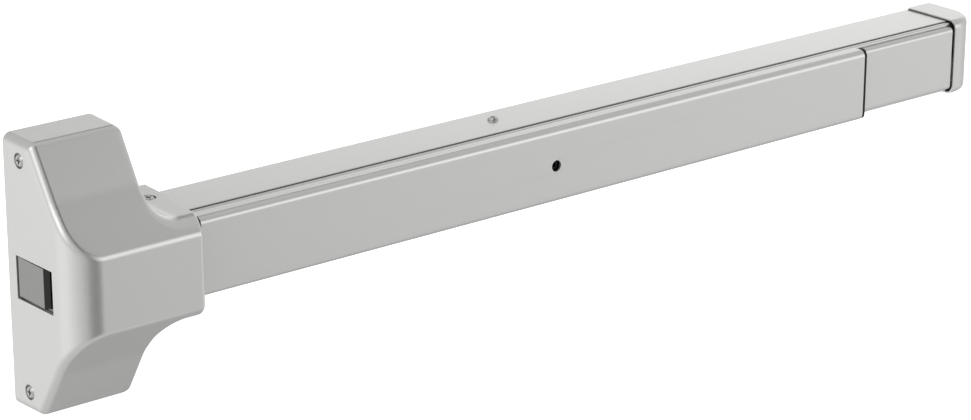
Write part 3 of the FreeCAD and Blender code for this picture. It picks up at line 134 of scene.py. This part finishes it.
# %% [markdown]
# ## A finish
# A finish is a material with one Principled shader. All that varies on it reads Object coordinates,
# so that a pattern stays on its piece when the piece moves. What is the same all over a finish is
# set on the shader's own socket. The colour and the roughness that a finish starts with hold only
# until a pattern takes their place.

# %% Finish
class Finish:
    """A material with a Principled shader, its tree, and the place on the object."""

    def __init__(self, name, color, metallic, roughness):
        self.name = name
        self.material = bpy.data.materials.new(name)
        self.material.use_nodes = True
        self.tree = self.material.node_tree
        self.shader = self.tree.nodes["Principled BSDF"]
        self.place = self.tree.nodes.new("ShaderNodeTexCoord").outputs["Object"]
        self.surface({"Base Color": (*color, 1), "Metallic": metallic, "Roughness": roughness})

    def add(self, kind, inputs):
        return add_node(self.tree, kind, inputs)

    def surface(self, inputs):
        """Sets the shader's inputs to a value or to what a pattern gives."""
        feed(self.tree, self.shader, inputs)

    def tell(self):
        print(self.name, "has", len(self.tree.nodes), "shader nodes")


# %% [markdown]
# ## Patterns
# Paint and metal are never quite even. A noise gives a grey pattern, stretched along an axis where
# the real surface has lines. Most of a noise lies near its middle, so the middle half is spread out
# over the range of values that a finish wants, such as two values of roughness. A bump turns a
# pattern into tiny heights that only the light sees.

# %% Patterns
MIDDLE_LOW, MIDDLE_HIGH = 0.25, 0.75
EVEN = (1, 1, 1)


def noise(finish, stretch, per_metre, detail=2.0):
    """A noise pattern: its features per metre, multiplied by a factor along each axis."""
    mapping = finish.add("ShaderNodeMapping", {"Vector": finish.place, "Scale": stretch})
    pattern = finish.add("ShaderNodeTexNoise", {
        "Vector": mapping.outputs["Vector"], "Scale": per_metre, "Detail": detail})
    return pattern.outputs["Fac"]


def spread(finish, pattern, low, high):
    """Maps the middle half of a pattern onto a range of values."""
    ranged = finish.add("ShaderNodeMapRange", {
        "Value": pattern, "From Min": MIDDLE_LOW, "From Max": MIDDLE_HIGH,
        "To Min": low, "To Max": high})
    return ranged.outputs["Result"]


def bump(finish, pattern, depth):
    """The normal of a surface that a pattern raises, depth in metres."""
    raised = finish.add("ShaderNodeBump", {"Height": pattern, "Strength": 1.0, "Distance": depth})
    return raised.outputs["Normal"]


# %% [markdown]
# ## Tones
# A Mix node blends two tones by a factor. It has sockets for numbers, vectors and colours side by
# side under the same names, so the colour sockets are taken by their number.

# %% Tones
FIRST_TONE, SECOND_TONE, BLEND = 6, 7, 2


def opaque(tone):
    """Gives three numbers the fourth that a colour socket wants, and leaves a blend alone."""
    return (*tone, 1) if isinstance(tone, tuple) else tone


def mix(finish, factor, first, second):
    """Blends two tones by a factor. A tone is three numbers or another blend."""
    mixer = finish.tree.nodes.new("ShaderNodeMix")
    mixer.data_type = "RGBA"
    feed(finish.tree, mixer, {
        "Factor": factor, FIRST_TONE: opaque(first), SECOND_TONE: opaque(second)})
    return mixer.outputs[BLEND]


def mottle(finish, pattern, dark, light):
    """Blends two tones by the middle half of a pattern."""
    return mix(finish, spread(finish, pattern, 0.0, 1.0), dark, light)


# %% [markdown]
# ## Painted casting
# The head cover is cast, the end cap is moulded, and both have a satin silver paint. Its flakes
# show as a very fine speckle, and the paint's orange peel breaks up the highlights a little. Both
# are noises with features of about a millimetre, so that they show as a slight unrest and not as a
# pattern. The roughness wanders in larger spots, a few centimetres apart.

# %% Silver paint
PAINT_METAL, PAINT_ROUGH = 0.8, 0.25
PAINT_TONE = (0.6, 0.6, 0.592)
PAINT_DARK, PAINT_LIGHT = (0.585, 0.585, 0.579), (0.625, 0.624, 0.617)
PAINT_GLOSS = (0.24, 0.27)
FLAKES_PER_METRE = 1400.0
GLOSS_SPOTS_PER_METRE = 60.0
PEEL_PER_METRE = 900.0
PEEL_DEPTH = 0.0000025

silver_paint = Finish("silver_paint", PAINT_TONE, PAINT_METAL, PAINT_ROUGH)
speckle = noise(silver_paint, EVEN, FLAKES_PER_METRE, detail=1.0)
gloss_spots = noise(silver_paint, EVEN, GLOSS_SPOTS_PER_METRE, detail=3.0)
orange_peel = noise(silver_paint, EVEN, PEEL_PER_METRE)
silver_paint.surface({
    "Base Color": mottle(silver_paint, speckle, PAINT_DARK, PAINT_LIGHT),
    "Roughness": spread(silver_paint, gloss_spots, *PAINT_GLOSS),
    "Normal": bump(silver_paint, orange_peel, PEEL_DEPTH),
})
silver_paint.tell()

# %% [markdown]
# ## Drawn aluminium
# The bar, the rail and the filler plate are extruded, so their paint lies over very fine draw lines
# that run along the rail. One noise makes them: a small factor along X stretches its features into
# lines. An image of brushed metal would do too, but a noise has no seams and needs no layout.

# %% Silver extrusion
DRAWN_TONE = (0.6, 0.6, 0.59)
DRAWN_DARK, DRAWN_LIGHT = (0.588, 0.588, 0.582), (0.622, 0.621, 0.614)
DRAWN_GLOSS = (0.245, 0.26)
ALONG_RAIL = (0.02, 1, 1)
LINES_PER_METRE = 900.0
LINE_DEPTH = 0.0000002


def drawn_finish(name):
    """A painted extrusion with the gloss of its draw lines, and its two patterns."""
    finish = Finish(name, DRAWN_TONE, PAINT_METAL, PAINT_ROUGH)
    lines = noise(finish, ALONG_RAIL, LINES_PER_METRE, detail=3.0)
    finish.surface({"Roughness": spread(finish, lines, *DRAWN_GLOSS)})
    return finish, lines, noise(finish, EVEN, FLAKES_PER_METRE, detail=1.0)


silver_extrusion, draw_lines, flakes = drawn_finish("silver_extrusion")
silver_extrusion.surface({
    "Base Color": mottle(silver_extrusion, flakes, DRAWN_DARK, DRAWN_LIGHT),
    "Normal": bump(silver_extrusion, draw_lines, LINE_DEPTH),
})
silver_extrusion.tell()

# %% [markdown]
# ## The rail's shadow lines
# Where the rail's flat top steps down to its lip, hardly any light gets out of the step, so the
# real rail shows a thin dark line there. Another one lies on the rail under the end cap's lip. Both
# steps are in the solids, but they are too fine for the render to hold them dark. So the rail gets
# a finish of its own, with these shadows painted into its colour. First come its tones from the
# door
# to the front: the top, with painted light that makes it a little lighter near the door, the
# painted shade of the dark band at the step, and the lip, with painted shade that makes it a little
# darker than the top.

# %% Rail tones
RAIL_TOP_DEEP = 0.046
STEP_DEEP, STEP_HALF = 0.0463, 0.00045
BAND_FADE = 0.0001
# Painted light: the rail's top is lighter near the door.
PAINTED_LIGHT_BY_DOOR = (0.63, 0.63, 0.622)
# Painted shade: the lip is darker than the top.
SHADED_LIP_DARK, SHADED_LIP_LIGHT = (0.575, 0.575, 0.57), (0.61, 0.609, 0.602)
# Painted shade: the dark band in the step.
PAINTED_STEP_SHADE = (0.1, 0.1, 0.1)


def beyond(finish, axis, start, end):
    """Zero before a place on an axis and one after it, with a ramp from start to end."""
    parts = finish.add("ShaderNodeSeparateXYZ", {"Vector": finish.place})
    ramp = finish.add("ShaderNodeMapRange", {
        "Value": parts.outputs[axis], "From Min": start, "From Max": end})
    return ramp.outputs["Result"]


rail_extrusion, _, rail_flakes = drawn_finish("rail_extrusion")
band_back, band_front = -STEP_DEEP + STEP_HALF, -STEP_DEEP - STEP_HALF
# Where the painted light near the door comes in.
painted_light_near_door = beyond(rail_extrusion, "Y", -RAIL_TOP_DEEP, 0.0)
past_back = beyond(rail_extrusion, "Y", band_back, band_back - BAND_FADE)
behind_front = beyond(rail_extrusion, "Y", band_front, band_front + BAND_FADE)
top_tone = mottle(rail_extrusion, rail_flakes, DRAWN_DARK, DRAWN_LIGHT)
top_tone = mix(rail_extrusion, painted_light_near_door, top_tone, PAINTED_LIGHT_BY_DOOR)
# The step's painted shade goes over the top's tone.
top_with_step_shade = mix(rail_extrusion, past_back, top_tone, PAINTED_STEP_SHADE)
# The lip's tone with its painted shade.
shaded_lip_tone = mottle(rail_extrusion, rail_flakes, SHADED_LIP_DARK, SHADED_LIP_LIGHT)
rail_tone = mix(rail_extrusion, behind_front, shaded_lip_tone, top_with_step_shade)
print("dark line at the step:", round(2000 * STEP_HALF, 2), "mm wide")

# %% [markdown]
# The cap's shadow comes last, because it lies over all the other tones. Its place is measured from
# the cap itself, so it follows when the cap moves.

# %% Shadow under the cap's lip
SHADOW_START, SHADOW_FULL = 0.002, 0.0014
CAP_SHADOW = (0.08, 0.08, 0.08)

cap_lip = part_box("end_cap")[0].x
under_cap = beyond(rail_extrusion, "X", cap_lip - SHADOW_START, cap_lip - SHADOW_FULL)
rail_extrusion.surface({"Base Color": mix(rail_extrusion, under_cap, rail_tone, CAP_SHADOW)})
rail_extrusion.tell()

# %% [markdown]
# ## Zinc plate
# The chassis, the rod, the cranks and the brackets are zinc plated. The plate is metal with a faint
# cloud, bluish in places and yellowish in others, and its gloss changes from spot to spot.

# %% Zinc plated steel
ZINC_TONE = (0.6, 0.6, 0.58)
ZINC_BLUISH, ZINC_YELLOWISH = (0.5, 0.52, 0.54), (0.68, 0.66, 0.6)
ZINC_GLOSS = (0.28, 0.42)
CLOUDS_PER_METRE, ZINC_SPOTS_PER_METRE = 90.0, 400.0

zinc_steel = Finish("zinc_steel", ZINC_TONE, metallic=1.0, roughness=0.35)
clouds = noise(zinc_steel, EVEN, CLOUDS_PER_METRE, detail=3.0)
zinc_spots = noise(zinc_steel, EVEN, ZINC_SPOTS_PER_METRE)
zinc_steel.surface({
    "Base Color": mottle(zinc_steel, clouds, ZINC_BLUISH, ZINC_YELLOWISH),
    "Roughness": spread(zinc_steel, zinc_spots, *ZINC_GLOSS),
})
zinc_steel.tell()

# %% [markdown]
# ## Ground steel
# The bolt is ground steel, with fine marks that run up and down its nose. Its bevelled corner lies
# in shade, so one ramp along Y paints that shade dark on the steel where the bevel starts.

# %% Bolt steel
BOLT_TONE = (0.29, 0.29, 0.285)
BOLT_DARK, BOLT_LIGHT = (0.29, 0.29, 0.287), (0.31, 0.31, 0.306)
BOLT_GLOSS = (0.26, 0.34)
UPRIGHT = (1, 1, 0.03)
MARKS_PER_METRE = 1500.0
MARK_DEPTH = 0.000002
BEVEL_START, BEVEL_FADE = 0.0449, 0.0002
# Painted shade: the dark tone of the bolt's bevel, which lies in shade.
BEVEL_SHADE = (0.045, 0.045, 0.045)

bolt_steel = Finish("bolt_steel", BOLT_TONE, metallic=1.0, roughness=0.3)
marks = noise(bolt_steel, UPRIGHT, MARKS_PER_METRE, detail=3.0)
bare_tone = mottle(bolt_steel, marks, BOLT_DARK, BOLT_LIGHT)
# Where the painted shade of the bevel begins.
painted_bevel_shade = beyond(bolt_steel, "Y", -BEVEL_START, -BEVEL_START - BEVEL_FADE)
bolt_steel.surface({
    "Base Color": mix(bolt_steel, painted_bevel_shade, bare_tone, BEVEL_SHADE),
    "Roughness": spread(bolt_steel, marks, *BOLT_GLOSS),
    "Normal": bump(bolt_steel, marks, MARK_DEPTH),
})
bolt_steel.tell()

# %% [markdown]
# ## Screws and black plastic
# The screws and the springs are small and bright, and only their gloss varies. The inserts that
# close the bar's ends are moulded from black plastic with a fine grain. They show in narrow gaps
# only, so their black is made darker still as painted shade of the gaps, and they give back little
# light.

# %% Screw steel
SCREW_TONE = (0.5, 0.495, 0.48)
SCREW_GLOSS = (0.18, 0.3)
SCREW_SPOTS_PER_METRE = 900.0

screw_steel = Finish("screw_steel", SCREW_TONE, metallic=1.0, roughness=0.22)
screw_spots = noise(screw_steel, EVEN, SCREW_SPOTS_PER_METRE)
screw_steel.surface({"Roughness": spread(screw_steel, screw_spots, *SCREW_GLOSS)})
screw_steel.tell()

# %% Black plastic
# The plastic's black, darkened further as painted shade of the narrow gaps.
PLASTIC_TONE = (0.01, 0.01, 0.01)
PLASTIC_DARK, PLASTIC_LIGHT = (0.008, 0.008, 0.008), (0.015, 0.015, 0.015)
PLASTIC_SHINE = 0.15
SHADE_PER_METRE, GRAIN_PER_METRE = 300.0, 1200.0
GRAIN_DEPTH = 0.00002

black_plastic = Finish("black_plastic", PLASTIC_TONE, metallic=0.0, roughness=0.6)
shade = noise(black_plastic, EVEN, SHADE_PER_METRE)
grain = noise(black_plastic, EVEN, GRAIN_PER_METRE)
black_plastic.surface({
    "Base Color": mix(black_plastic, shade, PLASTIC_DARK, PLASTIC_LIGHT),
    "Specular IOR Level": PLASTIC_SHINE,
    "Normal": bump(black_plastic, grain, GRAIN_DEPTH),
})
black_plastic.tell()

# %% [markdown]
# ## Finishes on the solids
# Each solid takes the finish that its slot in the record names. The rail alone has a finish of its
# own, because its shadow lines belong to it and to no other extrusion.

# %% Dress the solids
finishes = {
    "silver_casting": silver_paint,
    "silver_extrusion": silver_extrusion,
    "zinc_steel": zinc_steel,
    "bolt_steel": bolt_steel,
    "screw_steel": screw_steel,
    "black_plastic": black_plastic,
}
own_finishes = {"base_rail": rail_extrusion}
slots = {part["node"]: part["material_slot"] for part in frame["record"]["subparts"]}
for name, solid in nodes.items():
    finish = own_finishes.get(name, finishes[slots[name]])
    solid.data.materials.clear()
    solid.data.materials.append(finish.material)
print("dressed:", len(nodes), "solids in", len(finishes) + len(own_finishes), "finishes")

# %% [markdown]
# ## Springs
# Two compression springs behind the bolt push it out, and torsion springs round each crank's pivot
# push the bar out again. All of them are one wire that follows a helix, so one Geometry Nodes tree
# makes them: a Spiral gives the helix, a small circle gives the wire, and Curve to Mesh sweeps one
# along the other. The named inputs are the spring's radius, the wire's radius, the length, the
# turns and the finish.

# %% Spring tree
STEPS_PER_TURN = 20
WIRE_SIDES = 8


def spring_tree():
    """A tree that makes one coil spring along Z, starting at zero."""
    tree = bpy.data.node_groups.new("coil_spring", "GeometryNodeTree")
    tree.interface.new_socket("Geometry", in_out="OUTPUT", socket_type="NodeSocketGeometry")
    for name in ("Radius", "Wire radius", "Length", "Turns"):
        tree.interface.new_socket(name, in_out="INPUT", socket_type="NodeSocketFloat")
    tree.interface.new_socket("Finish", in_out="INPUT", socket_type="NodeSocketMaterial")
    given = tree.nodes.new("NodeGroupInput").outputs
    helix = add_node(tree, "GeometryNodeCurveSpiral", {
        "Resolution": STEPS_PER_TURN, "Rotations": given["Turns"], "Height": given["Length"],
        "Start Radius": given["Radius"], "End Radius": given["Radius"]})
    wire = add_node(tree, "GeometryNodeCurvePrimitiveCircle", {
        "Resolution": WIRE_SIDES, "Radius": given["Wire radius"]})
    sweep = add_node(tree, "GeometryNodeCurveToMesh", {
        "Curve": helix.outputs["Curve"], "Profile Curve": wire.outputs["Curve"],
        "Fill Caps": True})
    whole = add_node(tree, "GeometryNodeRealizeInstances", {"Geometry": sweep.outputs["Mesh"]})
    paint = add_node(tree, "GeometryNodeSetMaterial", {
        "Geometry": whole.outputs["Geometry"], "Material": given["Finish"]})
    add_node(tree, "NodeGroupOutput", {"Geometry": paint.outputs["Geometry"]})
    return tree


coil_spring = spring_tree()
socket_of = {item.name: item.identifier for item in coil_spring.interface.items_tree
             if item.in_out == "INPUT"}
print("inputs of the spring tree:", ", ".join(socket_of))

# %% [markdown]
# The tree works as a modifier on an empty maker object. Its result is taken off as a plain mesh,
# and the modifier goes again. One mesh then holds all the springs of a kind: each copy is put in
# its place inside the mesh, so the piece itself stays at the origin.

# %% Spring maker
def one_spring(sizes):
    """A plain mesh of one spring along Z."""
    maker = bpy.data.objects.new("spring_maker", bpy.data.meshes.new("spring_maker"))
    bpy.context.scene.collection.objects.link(maker)
    modifier = maker.modifiers.new("coil", "NODES")
    modifier.node_group = coil_spring
    for name, size in sizes.items():
        modifier[socket_of[name]] = size
    modifier[socket_of["Finish"]] = screw_steel.material
    evaluated = maker.evaluated_get(bpy.context.evaluated_depsgraph_get())
    made = bpy.data.meshes.new_from_object(evaluated)
    maker.modifiers.remove(modifier)
    bpy.data.objects.remove(maker)
    return made


def add_springs(name, sizes, places):
    """A piece of equal springs, one at each place: a place is a matrix."""
    made = one_spring(sizes)
    whole = bmesh.new()
    for place in places:
        placed = made.copy()
        placed.transform(place)
        whole.from_mesh(placed)
        bpy.data.meshes.remove(placed)
    bpy.data.meshes.remove(made)
    bmesh.ops.recalc_face_normals(whole, faces=whole.faces)
    joined = bpy.data.meshes.new(name)
    whole.to_mesh(joined)
    whole.free()
    joined.materials.append(screw_steel.material)
    joined.shade_smooth()
    piece = bpy.data.objects.new(name, joined)
    bpy.context.scene.collection.objects.link(piece)
    print(name, "has", len(places), "springs and", len(joined.polygons), "faces")
    return piece


# %% [markdown]
# The latch springs sit in the bolt's two pockets and rest against the latch case behind it. They
# stretch when the bolt comes out.

# %% Springs behind the bolt
SPRING_START = -0.0042
SPRING_DEEP = 0.041
SPRING_HALF_APART = 0.0075
LATCH_SPRING = {"Radius": 0.0032, "Wire radius": 0.0005, "Length": 0.041, "Turns": 13.0}

along_x = Matrix.Rotation(math.radians(90), 4, "Y")
latch_places = [
    Matrix.Translation((SPRING_START, -SPRING_DEEP, height)) @ along_x
    for height in (SPRING_HALF_APART, -SPRING_HALF_APART)
]
latch_springs = add_springs("latch_springs", LATCH_SPRING, latch_places)
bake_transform(latch_springs)

# %% [markdown]
# The return springs lie round the cranks' pivots, one above and one below each crank. They stay on
# the device. Their short legs are left out, because the rail hides them from every side.

# %% Springs round the pivots
PIVOTS_ALONG = (0.190, 0.640)
PIVOT_DEEP = 0.039
RETURN_STARTS = (0.0068, -0.0102)
RETURN_SPRING = {"Radius": 0.0056, "Wire radius": 0.00075, "Length": 0.0034, "Turns": 2.2}

return_places = [
    Matrix.Translation((along, -PIVOT_DEEP, start))
    for along in PIVOTS_ALONG for start in RETURN_STARTS
]
return_springs = add_springs("return_springs", RETURN_SPRING, return_places)
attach(return_springs, "device")

# %% [markdown]
# ## Smooth shading
# The solids come as loose triangles. A rounded edge should shade as one soft roll and a flat face
# should stay flat. Three modifiers do that without touching the mesh itself: Weld joins the
# triangles, Edge Split cuts them apart again where two faces meet at a real corner, and Weighted
# Normal lets the large flat faces decide how the light falls on their own border. The pieces that
# show get a tiny Bevel as well, because a cut edge of real metal is never perfectly sharp and
# catches a thin line of light.

# %% Smooth the solids
WELD_REACH = 0.000002
CORNER_ANGLE = math.radians(32)
BEVEL_ANGLE = math.radians(60)
BEVEL_STEPS = 2
FLAT_WEIGHT = 80
EDGE_BREAKS = {
    "head_cover": 0.00035,
    "latch_bolt": 0.0003,
    "base_rail": 0.00025,
    "push_bar": 0.00025,
    "end_cap": 0.00025,
    "filler_plate": 0.0002,
}


def smooth(solid, edge_break):
    """Adds the smoothing modifiers to a solid, and a bevel where edge_break is above zero."""
    solid.data.shade_smooth()
    weld = solid.modifiers.new("weld", "WELD")
    weld.merge_threshold = WELD_REACH
    if edge_break:
        bevel = solid.modifiers.new("edge_break", "BEVEL")
        bevel.width = edge_break
        bevel.segments = BEVEL_STEPS
        bevel.limit_method = "ANGLE"
        bevel.angle_limit = BEVEL_ANGLE
    split = solid.modifiers.new("corners", "EDGE_SPLIT")
    split.split_angle = CORNER_ANGLE
    split.use_edge_sharp = False
    weighted = solid.modifiers.new("flat_faces", "WEIGHTED_NORMAL")
    weighted.weight = FLAT_WEIGHT


for name, solid in nodes.items():
    smooth(solid, EDGE_BREAKS.get(name, 0))
print("smoothed:", len(nodes), "with a broken edge:", len(EDGE_BREAKS))

# %% [markdown]
# ## The table
# The product stands on a glowing white table, as in a catalogue studio. The table is a plain pale
# floor with a little light of its own, so that it stays white in the picture and keeps only a
# breath of shadow. It is hidden from reflections, because the flags under a real light table keep
# the lower faces of the metal grey.

# %% Table
FLOOR_REACH = 40.0
FLOOR_TONE = (0.9, 0.9, 0.9)
TABLE_GLOW = 0.75

floor_paint = Finish("floor_paint", FLOOR_TONE, metallic=0.0, roughness=0.9)
floor_paint.surface({"Emission Color": (1, 1, 1, 1), "Emission Strength": TABLE_GLOW})
floor_mesh = bpy.data.meshes.new("floor")
corners = [(side_x * FLOOR_REACH, side_y * FLOOR_REACH, 0)
           for side_x, side_y in ((-1, -1), (1, -1), (1, 1), (-1, 1))]
floor_mesh.from_pydata(corners, [], [(0, 1, 2, 3)])
floor_mesh.materials.append(floor_paint.material)
floor = bpy.data.objects.new("floor", floor_mesh)
floor.location.z = cad_bounds[0][2]
floor.visible_glossy = False
bpy.context.scene.collection.objects.link(floor)
print("table at a height of", round(floor.location.z, 4), "m")

# %% [markdown]
# ## The studio
# Satin metal shows what stands around it, so the studio matters as much as the paint. The world is
# drawn as a grey room with soft boxes and dark flags in it. Each one is a smooth blob on the sphere
# of directions: a centre, a reach along each axis and a strength, where a strength below zero is a
# black flag that takes light away. Lamps would do as well, but their edges are hard, and a blob
# costs no noise.

# %% Soft boxes and flags
ROOM_GREY = 0.71
soft_boxes = [
    ("left_wall", (-0.90, 0.30, -0.25), (0.9, 1.1, 0.9), 0.5),
    ("left_high", (-0.75, -0.25, 0.60), (0.58, 0.55, 0.6), 1.6),
    ("back_left", (-0.50, 0.85, -0.30), (0.7, 0.7, 0.7), 0.2),
    ("back_right", (0.80, 0.60, 0.28), (0.6, 0.6, 0.6), 0.58),
    ("right_side", (0.95, -0.10, 0.10), (0.5, 0.5, 0.5), 0.1),
    ("front_right", (0.85, -0.50, -0.30), (0.5, 0.5, 0.5), 0.25),
    ("front_strip", (0.60, -0.80, 0.17), (0.7, 0.6, 0.51), 0.98),
    ("dark_flag", (0.07, -0.97, -0.10), (0.58, 0.7, 1.5), -0.62),
    ("camera_flag", (-0.35, -0.85, -0.35), (0.45, 0.5, 0.5), -0.28),
    ("edge_flag", (0.17, -0.58, 0.79), (0.36, 0.45, 0.5), -1.0),
    ("upper_flag", (0.50, -0.62, 0.60), (0.5, 0.3, 0.26), -0.15),
    ("back_flag", (0.50, 0.60, 0.63), (0.5, 0.3, 0.25), -0.7),
    ("lower_flag", (0.50, 0.20, -0.85), (0.8, 0.8, 0.5), -0.35),
]
flags = [name for name, centre, reach, strength in soft_boxes if strength < 0]
print("soft boxes:", len(soft_boxes) - len(flags), "flags:", len(flags))

# %% [markdown]
# The world's shader takes the direction of each ray, measures how far it lies from the centre of
# every blob, and fades each blob's strength to nothing at its reach. Their sum and the room's grey
# make the brightness, which is never below zero.

# %% Studio
STUDIO_WHITE = (1.0, 1.0, 0.992, 1)

world = bpy.data.worlds.new("studio")
world.use_nodes = True
sky = world.node_tree


def sky_math(operation, value, other):
    """A Math node of the studio between a value and a number or another value."""
    node = add_node(sky, "ShaderNodeMath", {0: value, 1: other})
    node.operation = operation
    return node.outputs["Value"]


def sky_vector(operation, vector, fixed=(0, 0, 0)):
    """A Vector Math node of the studio between a vector and a fixed one."""
    node = add_node(sky, "ShaderNodeVectorMath", {0: vector, 1: fixed})
    node.operation = operation
    return node.outputs["Value" if operation == "LENGTH" else "Vector"]


def soft_blob(direction, centre, reach, strength):
    """Light that is strongest at a centre and fades to nothing at its reach along each axis."""
    away = sky_vector("DIVIDE", sky_vector("SUBTRACT", direction, centre), reach)
    fade = add_node(sky, "ShaderNodeMapRange", {
        "Value": sky_vector("LENGTH", away), "To Min": strength, "To Max": 0.0})
    fade.interpolation_type = "SMOOTHSTEP"
    return fade.outputs["Result"]


ray = sky.nodes.new("ShaderNodeTexCoord").outputs["Generated"]
brightness = ROOM_GREY
for name, centre, reach, strength in soft_boxes:
    brightness = sky_math("ADD", soft_blob(ray, centre, reach, strength), brightness)
feed(sky, sky.nodes["Background"], {
    "Color": STUDIO_WHITE, "Strength": sky_math("MAXIMUM", brightness, 0.0)})
bpy.context.scene.world = world
print("the studio's shader has", len(sky.nodes), "nodes")

# %% [markdown]
# The picture's background is pure white. Blender's usual view transform holds bright tones back, so
# the Standard one takes its place: a brightness of one is then white.

# %% View transform
bpy.context.scene.view_settings.view_transform = "Standard"
print("view transform:", bpy.context.scene.view_settings.view_transform)
